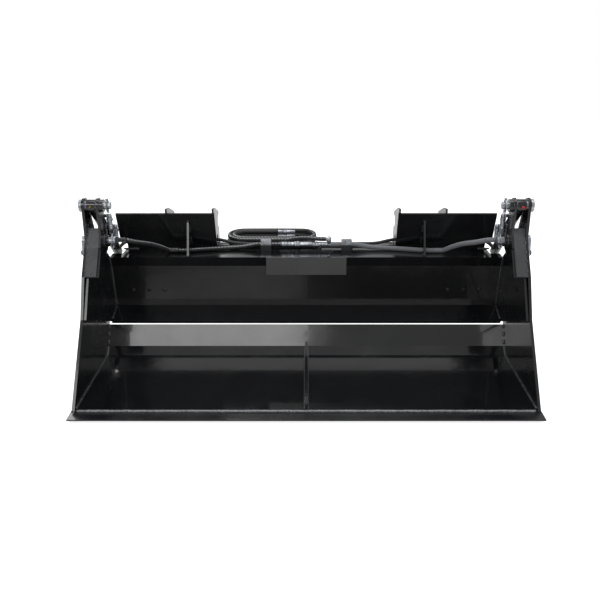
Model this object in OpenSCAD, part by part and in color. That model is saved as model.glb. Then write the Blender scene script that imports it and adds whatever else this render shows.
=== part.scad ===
// Four-in-one loader bucket: a hinged clam shell closes on a fixed moldboard, driven by two rams.
// X points right, Y points from the lip to the hitch, Z points up. The origin is at the middle of the
// footprint, on the ground. Places are first worked out from the lip and the top of the floor plate.

/* [Bucket] */
// Width over the side plates
bucket_w = 1600; // [1000:10:2400]
// Thickness of each side plate
side_t = 10; // [6:1:16]
// Thickness of the bent bowl sheet
floor_t = 8; // [5:1:12]
// Lip to the front edge of the floor plate
floor_set = 53; // [30:1:80]
// Lip to the first heel bend of the floor
floor_d = 470; // [350:5:700]
// Run of the short heel facet
heel_run = 29; // [20:1:60]
// Rise of the short heel facet
heel_rise = 27; // [15:1:60]
// Run of the back facet, up to the seam with the moldboard
back_run = 49; // [20:1:90]
// Rise of the back facet, up to the seam
back_rise = 91; // [60:1:140]
// Thickness of the stiffening rib on the floor
rib_t = 10; // [6:1:16]
// Height of the stiffening rib at its front
rib_front_h = 52; // [30:1:80]
// Height of the stiffening rib at its back
rib_back_h = 38; // [20:1:60]

/* [Cutting edge] */
// Depth of the cutting edge bar
edge_d = 150; // [100:5:250]
// Thickness of the cutting edge bar
edge_t = 20; // [10:1:25]
// Length of the bevel under the lip
edge_bevel = 28; // [10:1:50]
// Height of the blunt front of the lip
edge_land = 5; // [2:1:8]
// How far the cutting edge stands out past each side plate
edge_over = 6; // [0:1:20]
// Depth of the heel wear strip
heel_strip_d = 110; // [60:5:160]

/* [Moldboard] */
// Thickness of the moldboard sheet
mold_t = 8; // [5:1:12]
// Thickness of the moldboard's lower blade
blade_t = 10; // [8:1:16]
// Slope of the lower blade
blade_slope = 19; // [10:1:28]
// Run of the lower blade from the seam to the foot of the face
ledge_run = 87; // [60:1:120]
// Rise of the main face
face_rise = 176; // [120:1:260]
// How far the main face leans forward
face_lean = 18; // [0:1:40]
// Rise of the top band
band_rise = 40; // [20:1:70]
// How far the top band leans forward
band_lean = 12; // [0:1:30]
// Depth of the top flange
flange_d = 120; // [80:1:180]
// Thickness of each end wing plate
wing_t = 8; // [6:1:12]

/* [Linkage] */
// Seam to the clam pivot, backwards
pivot_y = -98; // [-130:1:-70]
// Seam to the clam pivot, upwards
pivot_z = 362; // [330:1:420]
// Clam pivot to the upper ram pin, backwards
lever_y = -20; // [-40:1:10]
// Clam pivot to the upper ram pin, upwards
lever_z = 138; // [125:1:170]
// Foot of the moldboard's face to the rod pin, backwards
rod_pin_y = 185; // [160:1:230]
// Foot of the moldboard's face to the rod pin, upwards
rod_pin_z = 98; // [80:1:130]
// Radius of the clam pivot pins
pivot_pin_r = 15; // [10:0.5:18]
// Radius of the ram pins
ram_pin_r = 12.5; // [8:0.5:14]
// Thickness of the inner lever plates
lever_t = 8; // [6:1:12]
// Gap between the two plates of a lever
lever_gap = 41; // [41:1:60]
// Outside radius of the ram barrel
barrel_r = 19; // [17:0.5:19.5]
// Bore radius of the ram barrel
bore_r = 15; // [13:0.5:15.5]
// Radius of the ram rod
rod_r = 10; // [8:0.5:12]
// Upper ram pin to the open end of the barrel
barrel_len = 378; // [340:1:390]

/* [Hitch] */
// Inner edge of each hitch plate from the middle
hitch_in = 364; // [200:1:450]
// Outer edge of each hitch plate from the middle
hitch_out = 755; // [700:1:755]
// Length of each hitch plate up its slope
hitch_len = 168; // [120:1:240]
// Forward lean of the hitch plates
hitch_lean = 18; // [5:1:25]
// Thickness of the hitch plates and ribs
hitch_t = 8; // [6:1:12]
// Outer rib of each hitch bracket from the middle
rib_out_x = 560; // [480:1:640]
// Radius of the seat for the loader's cross tube
hook_r = 25; // [18:1:30]
// Radius of the lock pin bores
lock_r = 13; // [9:0.5:18]

/* [Hoses] */
// Radius of the main hoses
hose_r = 9; // [7:0.5:11]
// Radius of the thinner return hoses
thin_r = 6.75; // [5:0.25:8]
// Radius of the supply hoses
supply_r = 9; // [7:0.5:10]
// Turns in each supply hose's coil
coil_turns = 1.5; // [0.5:1:1.5]

/* [Hidden] */
$fn = 48;
eps = 1;
round_fn = 32;
inner_w = bucket_w / 2 - side_t;
outer_w = bucket_w / 2;
edge_w = outer_w + edge_over;
ground = floor_t + edge_t;

// Bowl outline, seen from the side
heel_a = [floor_d, 0];
heel_b = heel_a + [heel_run, heel_rise];
seam = heel_b + [back_run, back_rise];
back_dir = unit(seam - heel_b);
slope_dir = [cos(blade_slope), sin(blade_slope)];
slope_up = [-sin(blade_slope), cos(blade_slope)];
seat_gap = 1.5;
back_cut = (blade_t + seat_gap) / (back_dir * slope_up);
back_end = seam - back_dir * back_cut;
bowl_line = [[floor_set, 0], heel_a, heel_b, back_end];

// Moldboard outline
blade_lap = 8;
blade_tail = 14;
blade_tip = seam - slope_dir * blade_lap;
face_foot = seam + [ledge_run, ledge_run * tan(blade_slope)];
face_tilt = atan(face_lean / face_rise);
face_bend = face_foot + [-face_lean, face_rise];
band_top = face_bend + [-band_lean, band_rise];
flange_end = band_top + [flange_d, 0];
mold_line = [face_foot, face_bend, band_top, flange_end];
flange_under = band_top[1] - mold_t;

// Places of the pins
pivot = seam + [pivot_y, pivot_z];
ram_top = pivot + [lever_y, lever_z];
rod_pin = face_foot + [rod_pin_y, rod_pin_z];
ram_vec = rod_pin - ram_top;
ram_len = norm(ram_vec);
ram_dir = ram_vec / ram_len;
ram_tilt = -atan2(ram_dir[0], ram_dir[1]);

// Places across the bucket
ram_x = inner_w - lever_gap / 2;
lever_x = inner_w - lever_gap - lever_t;
lug_gap = 34;
lug_t = 8;
wing_gap = 3.5;
wing_x = inner_w - wing_gap - wing_t;
mold_w = wing_x;
notch_x = lever_x - 3;
lug_inner_x = ram_x - lug_gap / 2 - lug_t;
lug_outer_x = wing_x + wing_t;

// Lever and cover outline
hub_r = 55;
post_r = 28;
lever_hub_r = 45;
wing_hub_r = 40;
wing_neck_r = 34;
wing_share = 0.76;
cover_t = 8;
cover_foot = pivot + [-137, -93];
cover_bend = pivot + [-71, -6];
cover_top = ram_top + [-11, -81];
cover_clear = 15;
cover_slant = 24;
brow = pivot + [-206, -230];
toe = [floor_set - 10, 0];
side_back_run = 8;
cover_out = unit([cover_bend[1] - cover_foot[1], cover_foot[0] - cover_bend[0]]);
cover_line = [cover_foot, cover_bend, cover_top];
bush_r = 21;
bush_l = 15;
pin_gap = 0.05;
washer_t = 3;
side_play = 0.5;
spacer_r = 18;

rib_share = 0.16;
bush_out = 22;

// Ram details
eye_r = 23;
eye_w = 31;
cap_l = 16;
neck_r = 15;
tube_start = 34;
gland_l = 26;
gland_r = 18.5;
gland_gap = 0.06;
piston_l = 24;
piston_gap = 0.3;
piston_start = barrel_len - 2 * gland_l - piston_l;
rod_eye_r = 20;
rod_eye_w = 33;
lug_r = 32;
lug_clear = 7.5;
lug_back = [-0.5, 0.85];
lug_front_h = 90;
cap_washer_r = 28;
port_x = lever_x - 14;
port_a = 75;
port_b = 160;
port_r = 8;
elbow_r = 9;
fit_r = 9.5;
fit_len = 34;
nut_r = 12;
nut_l = 10;

// Hitch outline
lean_dir = [-sin(hitch_lean), cos(hitch_lean)];
lean_out = [cos(hitch_lean), sin(hitch_lean)];
plate_foot_d = hitch_t / cos(hitch_lean);
plate_foot = flange_end - [plate_foot_d, 0];
plate_top = plate_foot + lean_dir * hitch_len;
plate_notch_h = 46;
plate_notch_x = notch_x - 8;
rib_peek = 16;
channel_h = 100;
channel_d = 60;
channel_t = 6;
channel_lift = 6;
channel_z = face_foot[1] + channel_lift;
channel_y = face_foot[0] + mold_t + channel_d;
rib_front_y = face_bend[0] + 33;
rib_rear_y = flange_end[0] + 105;
rib_top_run = 52;
rib_top_drop = 8;
rib_low_z = face_foot[1] + 4;
rib_low_run = 40;
hook_in = 12;
hook_y = rib_rear_y - hook_in;
hook_z = flange_end[1] + 92;
hook_slant = 20;
hook_lip = 1;
lock_y = rib_rear_y - 28;
lock_z = face_foot[1] + 42;
pass_r = 19;
pass_y = flange_end[0] + 30;
pass_z = flange_end[1] + 32;
bar_r = 24;
bar_wall = 3;
rib_set = 3;
bar_y = flange_end[0] + 83;
bar_z = flange_end[1] - bar_r;
gusset_x = 471;
gusset_h = 138;
gusset_pass_y = flange_end[0] - 58;
gusset_pass_r = hose_r + 3;
notch_y = flange_end[0] - 70;

// Small pieces
badge_w = 318;
badge_h = 72;
badge_t = 5;
bolt_pitch = 63;
bolt_edge = 77.5;
bolt_first = wing_x - bolt_edge - 2 * bolt_pitch;
bolt_r = 6;
bolt_head_r = 8;
bolt_head_h = 4;
bolt_share = 0.4;
bolt_z = face_foot[1] + bolt_share * face_rise;
clamp_x = 164;
clamp_w = 42;
clamp_d = 26;
clamp_top_h = 10;
clamp_gap = 0.4;
clamp_y = 705;
thin_y = 730;
tee_half = 24;
nut_w = 24;
thin_nut_over = 3;
thin_over = 1.5;
main_end = 104;
back_stop = 110;
low_x = 54;
high_x = 92;
clip_x = 166;
clip_w = 24;
clip_h = 10;
flag_t = 8;
flag_bolt = pivot - [14, 42];
flag_end_r = 13;
flag_head_r = 10;
flag_head_h = 6;
ring_r = 19.5;
ring_wire = 2.25;
linch_r = 5;
linch_l = 52;
pin_tail = 24;
post_boss_l = 15;
post_boss_r = 23;
nipple_r = 4;
nipple_l = 12;

// Total depth, from the lip to the back of the rod pin lugs
depth = rod_pin[0] + lug_r;

// Hose routes: places from the lip, the middle and the top of the floor plate
route_step = 3;
port_drop = elbow_r + nut_l + fit_len;
hose_a_out = ram_top + ram_dir * port_a - [0, port_drop];
hose_b_out = ram_top + ram_dir * port_b - [0, port_drop];
hose_lift = 0.5;
hose_z = flange_end[1] + hose_r + hose_lift;
main_z = hose_z + 13;
back_z = flange_end[1] + 17;
hose_a_end_route = concat(
    [for (d = [0, 8, 16]) xyz(port_x, hose_a_out - [0, d])],
    [[722, 487, 482], [705, 496, 470], [680, 508, 464], [645, 540, 446], [609, 590, 424],
     [577, 630, 399], [560, 653, 382], [548, 664, hose_z], [530, 664, hose_z], [512, 664, hose_z]]);
hose_a_route = [
    [512, 664, hose_z], [500, 664, hose_z], [488, 664.5, hose_z], [471, 667, hose_z],
    [420, 679, hose_z], [340, 694, hose_z], [270, 702, hose_z + 2], [225, 705, hose_z + 8],
    [200, 705, main_z], [186, 705, main_z], [143, 705, main_z], [104, 705, main_z]];
hose_b_end_route = concat(
    [for (d = [0, 8, 16]) xyz(port_x, hose_b_out - [0, d])],
    [[729, 556, 423], [734, 590, 408], [740, 640, 399], [742, 690, 394], [738, 728, 390],
     [715, 748, 391], [680, 755, 394], [640, 755, 396], [620, 755, 396], [600, 755, 396]]);
hose_b_route = [
    [600, 755, 396], [580, 755, 396], [540, 755, 396], [470, 755, 396], [410, 753, 396],
    [360, 746, 394], [325, 737, 390], [290, 732, 384], [230, 730, back_z], [200, 730, back_z],
    [150, 730, back_z], [130, 730, back_z], [110, 730, back_z]];

// Supply hoses: two flat ovals, one on the other, wound inwards
coil_x = -140;
coil_y = 825;
coil_r = 76;
coil_half = 113;
coil_pitch = 2 * supply_r + 1.5;
coil_z = flange_end[1] + supply_r;
coil_step = 24;
coil_corner = 4;
layer_z = 2 * supply_r + 0.6;
coil_low = coil_path(coil_z);
coil_high = coil_path(coil_z + layer_z);
coil_start = coil_x + 2 * supply_r;
coupler_l = 74;
coupler_r = supply_r - 1;
lead_low_route = [[40, 749, coil_z], [0, 749, coil_z], [-50, 749, coil_z],
    [-90, 749, coil_z], [coil_start, 749, coil_z]];
lead_high_route = [[78, 705, 409], [68, 705, 409], [56, 705, 409], [14, 717, 409],
    [-20, 731, 405], [-52, 743, 398], [-78, 749, coil_z + layer_z], [-92, 749, coil_z + layer_z],
    [-106, 749, coil_z + layer_z], [coil_start, 749, coil_z + layer_z]];

function unit(v) = v / norm(v);
function side_of(v) = unit([v[1], -v[0]]);
function reversed(p) = [for (i = [len(p) - 1:-1:0]) p[i]];
function xyz(x, p) = [x, p[0], p[1]];
// The back surface of the moldboard's main face at a height
function back_at(z) = face_at(z) + mold_t / cos(face_tilt);
function face_at(z) = face_foot[0] - face_lean * (z - face_foot[1]) / face_rise;
// A bent line moved sideways by t, with mitred corners
function offset_line(p, t) = [
    for (i = [0:len(p) - 1])
        let (j = max(i, 1), k = min(i, len(p) - 2),
             a = side_of(p[j] - p[j - 1]), b = side_of(p[k + 1] - p[k]))
        p[i] + t * (a + b) / (1 + a * b)];
// A smooth curve through hand-chosen points
function curve_at(a, b, c, d, u) =
    (2 * b + (c - a) * u + (2 * a - 5 * b + 4 * c - d) * pow(u, 2)
        + (3 * b - a - 3 * c + d) * pow(u, 3)) / 2;
function smooth(p, n) = concat([
    for (i = [0:len(p) - 2])
        let (a = p[max(i - 1, 0)], d = p[min(i + 2, len(p) - 1)])
        for (k = [0:n - 1]) curve_at(a, p[i], p[i + 1], d, k / n)], [p[len(p) - 1]]);
function run_of(p, i) = unit(p[min(i + 1, len(p) - 1)] - p[max(i - 1, 0)]);
function square_to(v, t) = unit(v - (v * t) * t);
// A place on a flat oval wound inwards, clockwise from the middle of its front
function coil_point(turn, z) =
    let (a = -90 - 360 * turn, r = coil_r - coil_pitch * turn, c = cos(a),
         side = c < 0 ? -1 : 1)
    [coil_x + r * c + coil_half * side * min(1, abs(c) * coil_corner), coil_y + r * sin(a), z];
// A whole coil, straight for one hose diameter at each end
function coil_path(z) =
    let (last = coil_point(coil_turns, z), straight = [2 * supply_r, 0, 0])
    concat([coil_point(0, z) + straight],
        [for (i = [0:coil_step * coil_turns]) coil_point(i / coil_step, z)], [last + straight]);
// The least gap between the turns of a coil, measured from middle to middle
function least_gap(p) = min([
    for (i = [1:len(p) - 2], j = [i + 1:len(p) - 2])
        if (j - i > coil_step / 2) norm(p[i] - p[j])]) - 2 * supply_r;
// Directions square to a path that don't twist along it
function frames(p, i, v) =
    let (w = square_to(v, run_of(p, i)))
    i == len(p) - 1 ? [w] : concat([w], frames(p, i + 1, w));

module on_side(side) {
    mirror([side < 0 ? 1 : 0, 0, 0]) children();
}

module placed() {
    translate([0, -depth / 2, ground]) children();
}

// A plate across X, from its outline in Y and Z
module slab(x, t) {
    translate([x, 0, 0]) rotate([90, 0, 90]) linear_extrude(t) children();
}

// A round bar along X through a place in Y and Z
module bar(x, p, r, l) {
    translate(xyz(x, p)) rotate([0, 90, 0]) cylinder(r = r, h = l);
}

module ring_bar(x, p, r, inner, l) {
    difference() {
        bar(x, p, r, l);
        bar(x - eps, p, inner, l + 2 * eps);
    }
}

module disc(p, r) {
    translate(p) circle(r);
}

module sheet(p, t) {
    polygon(concat(p, reversed(offset_line(p, t))));
}

// Two rounds joined by their outer tangents
module link(a, ra, b, rb) {
    d = unit(b - a);
    n = [-d[1], d[0]];
    s = (ra - rb) / norm(b - a);
    c = sqrt(1 - pow(s, 2));
    up = d * s + n * c;
    down = d * s - n * c;
    disc(a, ra);
    disc(b, rb);
    polygon([a + up * ra, b + up * rb, b + down * rb, a + down * ra]);
}

// Things on a ram: Z runs from the upper pin to the rod pin
module on_ram() {
    translate(xyz(ram_x, ram_top)) rotate([ram_tilt, 0, 0]) children();
}

// A round tube swept along a path
module tube(p, r, sides) {
    f = frames(p, 0, square_to([0.1, 0.2, 1], run_of(p, 0)));
    rings = len(p);
    points = [
        for (i = [0:rings - 1])
            let (t = run_of(p, i), u = f[i], v = cross(t, u))
            for (k = [0:sides - 1])
                p[i] + r * (cos(360 * k / sides) * u + sin(360 * k / sides) * v)];
    walls = [
        for (i = [0:rings - 2], k = [0:sides - 1])
            let (a = i * sides + k, b = i * sides + (k + 1) % sides)
            each [[a, b + sides, b], [a, a + sides, b + sides]]];
    end = (rings - 1) * sides;
    first = [for (k = [1:sides - 2]) [0, k, k + 1]];
    last = [for (k = [1:sides - 2]) [end, end + k + 1, end + k]];
    polyhedron(points = points, faces = concat(walls, first, last));
}

module cutting_edge() {
    color("#141517") placed() slab(-edge_w, 2 * edge_w)
        polygon([
            [0, -floor_t], [edge_d, -floor_t], [edge_d, -ground],
            [edge_bevel, -ground], [0, -floor_t - edge_land]]);
}

module bowl_sheet() {
    color("#17181a") placed() slab(-inner_w, 2 * inner_w) sheet(bowl_line, floor_t);
}

module centre_rib() {
    color("#141517") placed() slab(-rib_t / 2, rib_t)
        polygon([
            [floor_set, 0], heel_a, heel_b, heel_b + [back_run, back_rise] * rib_share,
            [floor_d - heel_run, rib_back_h], [floor_set, rib_front_h]]);
}

module heel_strip() {
    color("#141517") placed()
        translate([-inner_w, floor_d - heel_strip_d, -ground])
        cube([2 * inner_w, heel_strip_d, edge_t]);
}

module side_outline() {
    heel_out = offset_line(bowl_line, floor_t);
    difference() {
        union() {
            link(pivot, hub_r, ram_top, post_r);
            polygon([
                [toe[0], 0], brow, cover_foot, cover_bend, cover_top, pivot,
                pivot + [hub_r, 0],
                seam + [side_back_run, 0], heel_out[3], heel_out[2], heel_out[1],
                [edge_d, -floor_t], [edge_d, 0]]);
        }
        translate([0, -floor_t - eps]) square([edge_d, floor_t + eps]);
    }
}

module side_plate(side) {
    color("#17181a") placed() on_side(side) difference() {
        slab(inner_w, side_t) side_outline();
        bar(inner_w - eps, pivot, pivot_pin_r + pin_gap, side_t + 2 * eps);
        bar(inner_w - eps, ram_top, ram_pin_r + pin_gap, side_t + 2 * eps);
    }
}

module lever_outline() {
    link(pivot, lever_hub_r, ram_top, post_r);
    polygon([cover_foot + cover_out * cover_t, cover_bend + cover_out * cover_t, cover_bend,
             cover_top, pivot + [0, lever_hub_r], pivot, pivot + [0, -lever_hub_r]]);
}

module lever_plate(side) {
    color("#17181a") placed() on_side(side) difference() {
        union() {
            slab(lever_x, lever_t) lever_outline();
            bar(lever_x - bush_l, pivot, bush_r, bush_l);
            bar(lever_x - post_boss_l, ram_top, post_boss_r, post_boss_l);
        }
        bar(lever_x - bush_l - eps, pivot, pivot_pin_r + pin_gap, bush_l + lever_t + 2 * eps);
        bar(lever_x - post_boss_l - eps, ram_top, ram_pin_r + pin_gap,
            post_boss_l + lever_t + 2 * eps);
    }
}

module lever_cover(side) {
    color("#2c2e31") placed() on_side(side) difference() {
        slab(lever_x + lever_t, lever_gap) sheet(cover_line, cover_t);
        translate(xyz(lever_x, cover_foot - [hub_r, cover_slant]))
            rotate([0, atan2(cover_slant, lever_gap), 0])
            translate([-hub_r, 0, -cover_slant])
            cube([2 * hub_r, 2 * hub_r, 1.5 * cover_slant]);
    }
}

// Linch pin with its ring round the end of the big pin
module linch(x, p) {
    translate(xyz(x, p)) {
        translate([0, 0, -linch_l / 2]) cylinder(r = linch_r, h = linch_l, $fn = round_fn);
        rotate([0, 90, 0]) rotate_extrude($fn = round_fn)
            translate([ring_r, 0]) circle(ring_wire, $fn = 16);
    }
}

module pin(x, p, r, l, tail) {
    difference() {
        bar(x - tail, p, r, l + tail);
        translate(xyz(x - tail / 2, p) - [0, 0, 2 * r])
            cylinder(r = linch_r + pin_gap, h = 4 * r, $fn = round_fn);
    }
}

module pivot_pin(side) {
    x0 = lever_x - bush_l;
    l = outer_w + bush_l - x0;
    color("#a9acb0") placed() on_side(side) {
        pin(x0, pivot, pivot_pin_r, l, pin_tail);
        slab(x0 + l, flag_t) difference() {
            link(pivot, bush_r, flag_bolt, flag_end_r);
            disc(flag_bolt, bolt_r + pin_gap);
        }
        ring_bar(outer_w, pivot, bush_r, pivot_pin_r, bush_l);
    }
}

module ram_pin(side) {
    x0 = lever_x - post_boss_l;
    l = outer_w + washer_t - x0;
    color("#c9ccd0") placed() on_side(side) {
        pin(x0, ram_top, ram_pin_r, l, pin_tail);
        bar(x0 + l, ram_top, post_boss_r, nut_l);
        for (x = [lever_x + lever_t, ram_x + eye_w / 2 + side_play])
            ring_bar(x, ram_top, spacer_r, ram_pin_r, lever_gap / 2 - eye_w / 2 - side_play);
    }
}

module linch_pins() {
    color("#d5d8db") placed() for (side = [-1, 1]) on_side(side) {
        linch(lever_x - bush_l - pin_tail / 2, pivot);
        linch(lever_x - post_boss_l - pin_tail / 2, ram_top);
    }
}

// The place of a bolt in the moldboard's face, with Z along the bolt
module at_bolt(i) {
    translate([bolt_first + i * bolt_pitch, face_at(bolt_z), bolt_z])
        rotate([face_tilt - 90, 0, 0]) children();
}

module moldboard() {
    color("#101113") placed() difference() {
        slab(-mold_w, 2 * mold_w) sheet(mold_line, mold_t);
        for (side = [-1, 1]) on_side(side) {
            translate([notch_x, notch_y, flange_under - eps])
                cube([mold_w - notch_x + eps, flange_d + eps, mold_t + 2 * eps]);
            for (i = [0:2])
                at_bolt(i) translate([0, 0, -mold_t])
                    cylinder(r = bolt_r + pin_gap, h = 3 * mold_t);
        }
    }
}

module moldboard_blade() {
    tail = face_foot + slope_dir * blade_tail;
    color("#17181a") placed() slab(-mold_w, 2 * mold_w)
        polygon([blade_tip, face_foot, face_foot + [mold_t, 0], tail - slope_up * blade_t,
                 blade_tip - slope_up * blade_t]);
}

module wing(side) {
    low = cover_foot + cover_out * cover_clear;
    neck = pivot + unit([-cover_out[0], cover_out[0] * wing_share]) * wing_neck_r;
    color("#17181a") placed() on_side(side) difference() {
        slab(wing_x, wing_t) {
            polygon([
                blade_tip, brow, low, neck, pivot, pivot + [wing_hub_r / 2, wing_hub_r / 2],
                band_top + [mold_t, 0], face_bend + [mold_t, 0], face_foot + [mold_t, 0],
                face_foot]);
            disc(pivot, wing_hub_r);
        }
        bar(wing_x - eps, pivot, bush_r, wing_t + 2 * eps);
    }
}

module pivot_bushes() {
    color("#8d9095") placed() for (side = [-1, 1]) on_side(side)
        ring_bar(wing_x - bush_out, pivot, bush_r, pivot_pin_r + pin_gap,
                 wing_t + bush_out + wing_gap / 2);
}

module badge_plate() {
    color("#101113") placed()
        slab(-badge_w / 2, badge_w)
        polygon([
            band_top, band_top + [-badge_t, 0],
            band_top + [-badge_t, -badge_h],
            band_top + [0, -badge_h]]);
}

module moldboard_bolts() {
    color("#1c1d1f") placed() for (side = [-1, 1], i = [0:2]) on_side(side)
        at_bolt(i) {
            translate([0, 0, -bolt_head_h]) cylinder(r = bolt_head_r, h = bolt_head_h);
            cylinder(r = bolt_r, h = 2 * mold_t);
            translate([0, 0, mold_t]) cylinder(r = bolt_head_r + bolt_r / 2, h = mold_t, $fn = 6);
        }
}

module rear_channel() {
    top = channel_z + channel_h;
    color("#141517") placed() slab(-lug_inner_x, 2 * lug_inner_x)
        sheet([[back_at(top - channel_t), top], [channel_y, top], [channel_y, channel_z],
               [back_at(channel_z), channel_z]], channel_t);
}

module rod_lug_outline(front) {
    polygon([[front, channel_z], rod_pin - [0, lug_r], rod_pin, rod_pin + lug_back * lug_r,
             [front, channel_z + lug_front_h]]);
    disc(rod_pin, lug_r);
}

module rod_lugs(side) {
    slot_r = ram_pin_r + lug_clear;
    color("#17181a") placed() on_side(side) difference() {
        union() {
            slab(lug_inner_x, lug_t) intersection() {
                rod_lug_outline(face_foot[0] - face_lean);
                polygon([
                    [back_at(face_foot[1]), face_foot[1]], [back_at(face_bend[1]), face_bend[1]],
                    [depth + eps, face_bend[1]], [depth + eps, face_foot[1]]]);
            }
            slab(lug_outer_x, lug_t) rod_lug_outline(face_foot[0] - 2 * mold_t);
        }
        bar(lug_inner_x - eps, rod_pin, slot_r, lug_outer_x + lug_t - lug_inner_x + 2 * eps);
    }
}

module hitch_plate(side) {
    color("#141517") placed() on_side(side) difference() {
        slab(hitch_in, hitch_out - hitch_in)
            polygon([plate_foot, plate_top, plate_top + lean_out * hitch_t, flange_end]);
        translate([plate_notch_x, notch_y, flange_end[1] - eps])
            cube([hitch_out - plate_notch_x + eps, flange_d, plate_notch_h]);
    }
}

module rib_outline() {
    top_back = plate_top + lean_out * hitch_t;
    difference() {
        polygon([
            [rib_front_y, channel_z + channel_h], [rib_front_y, flange_under],
            [flange_end[0], flange_under], flange_end, top_back, top_back + [0, rib_peek],
            top_back + [rib_top_run, rib_peek - rib_top_drop],
            [rib_rear_y, hook_z + hook_r + hook_in], [rib_rear_y, rib_low_z + rib_low_run],
            [rib_rear_y - rib_low_run, rib_low_z], [channel_y, rib_low_z],
            [channel_y, channel_z + channel_h]]);
        disc([hook_y, hook_z], hook_r);
        translate([hook_y, hook_z]) rotate(-hook_slant)
            translate([0, hook_lip - hook_r]) square([2 * hook_r, 2 * (hook_r - hook_lip)]);
        disc([lock_y, lock_z], lock_r);
        disc([pass_y, pass_z], pass_r);
    }
}

module hitch_rib(side, x) {
    color("#141517") placed() on_side(side) slab(x - hitch_t, hitch_t) rib_outline();
}

module hitch_crossbar() {
    color("#17181a") placed()
        ring_bar(-hitch_in - rib_set, [bar_y, bar_z], bar_r, bar_r - bar_wall,
                 2 * (hitch_in + rib_set));
}

module plate_gussets() {
    color("#17181a") placed() for (side = [-1, 1]) on_side(side)
        slab(gusset_x - hitch_t / 2, hitch_t) difference() {
            polygon([
                [band_top[0] + 2 * mold_t, flange_end[1]], plate_foot,
                plate_foot + lean_dir * gusset_h,
                plate_foot + lean_dir * (gusset_h - mold_t) - [mold_t, 0]]);
            disc([gusset_pass_y, hose_z], gusset_pass_r);
            translate([gusset_pass_y - gusset_pass_r, flange_end[1] - eps])
                square([2 * gusset_pass_r, hose_r + eps]);
        }
}

module barrel(side) {
    color("#0d0e0f") placed() on_side(side) difference() {
        union() {
            bar(ram_x - eye_w / 2, ram_top, eye_r, eye_w);
            on_ram() {
                cylinder(r = neck_r, h = tube_start);
                translate([0, 0, tube_start])
                    cylinder(r = barrel_r, h = barrel_len - tube_start - gland_l / 2);
            }
        }
        bar(ram_x - eye_w, ram_top, ram_pin_r + pin_gap, 2 * eye_w);
        on_ram() translate([0, 0, tube_start + cap_l]) cylinder(r = bore_r, h = barrel_len);
    }
}

module gland(side) {
    color("#a9acb0") placed() on_side(side) on_ram()
        translate([0, 0, barrel_len - gland_l / 2]) difference() {
            union() {
                cylinder(r = gland_r, h = gland_l / 2);
                translate([0, 0, -gland_l]) cylinder(r = bore_r, h = gland_l);
            }
            translate([0, 0, -2 * gland_l]) cylinder(r = rod_r + gland_gap, h = 4 * gland_l);
        }
}

module rod(side) {
    color("#d9dcdf") placed() on_side(side) difference() {
        union() {
            on_ram() translate([0, 0, piston_start]) {
                cylinder(r = rod_r, h = ram_len - piston_start);
                cylinder(r = bore_r - piston_gap, h = piston_l);
            }
            bar(ram_x - rod_eye_w / 2, rod_pin, rod_eye_r, rod_eye_w);
        }
        bar(ram_x - rod_eye_w, rod_pin, ram_pin_r, 2 * rod_eye_w);
    }
}

module rod_pin_set(side) {
    x0 = lug_inner_x - washer_t - pin_gap;
    x1 = lug_outer_x + lug_t + pin_gap;
    color("#c9ccd0") placed() on_side(side) {
        bar(x0, rod_pin, ram_pin_r, x1 + washer_t - x0);
        bar(x0, rod_pin, cap_washer_r, washer_t);
        bar(x1, rod_pin, cap_washer_r, washer_t);
    }
}

// Oil port: a boss pointing inwards, an elbow, a nut and a ferrule pointing down
module port(along) {
    p = ram_top + ram_dir * along;
    difference() {
        bar(port_x, p, port_r, ram_x - port_x);
        on_ram() cylinder(r = barrel_r + pin_gap, h = barrel_len);
    }
    translate(xyz(port_x, p)) {
        translate([0, 0, -elbow_r]) cylinder(r = elbow_r, h = 2 * elbow_r);
        translate([0, 0, -elbow_r - nut_l]) cylinder(r = nut_r, h = nut_l, $fn = 6);
        translate([0, 0, -port_drop]) cylinder(r = fit_r, h = fit_len);
    }
}

module barrel_fittings(side) {
    color("#b9bcc0") placed() on_side(side) {
        port(port_a);
        port(port_b);
        on_ram() mirror([0, 1, 0]) nipple();
    }
}

// Grease nipple standing on the upper eye
module nipple() {
    difference() {
        rotate([-ram_tilt, 0, 0]) mirror([0, 1, 0]) cylinder(r = nipple_r, h = eye_r + nipple_l);
        translate([-eye_w, 0, 0]) rotate([0, 90, 0]) cylinder(r = eye_r + pin_gap, h = 2 * eye_w);
    }
}

module flag_bolts() {
    l = bush_l + flag_t;
    color("#3a3c3f") placed() for (side = [-1, 1]) on_side(side) {
        bar(outer_w, flag_bolt, bolt_r, l + bolt_head_h);
        translate(xyz(outer_w + l, flag_bolt)) rotate([0, 90, 0])
            cylinder(r = flag_head_r, h = flag_head_h, $fn = 6);
    }
}

// Clamp halves on the flange; the main hoses pass through between them
module clamp_blocks() {
    color("#1b1c1e") placed() {
        for (side = [-1, 1]) on_side(side) difference() {
            translate([clamp_x - clamp_w / 2, clamp_y - clamp_d / 2, flange_end[1]])
                cube([clamp_w, clamp_d, main_z - flange_end[1]]);
            bar(clamp_x - clamp_w, [clamp_y, main_z], hose_r + clamp_gap, 2 * clamp_w);
        }
        translate([clip_x, clamp_y + clamp_d / 2 + eps, flange_end[1]])
            cube([clip_w, flange_end[0] - clamp_y - clamp_d / 2 - eps, clip_h]);
    }
}

module clamp_tops() {
    color("#c4c6c8") placed() for (side = [-1, 1]) on_side(side) difference() {
        translate([clamp_x - clamp_w / 2, clamp_y - clamp_d / 2, main_z])
            cube([clamp_w, clamp_d, hose_r + clamp_top_h]);
        bar(clamp_x - clamp_w, [clamp_y, main_z], hose_r + clamp_gap, 2 * clamp_w);
    }
}

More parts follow.
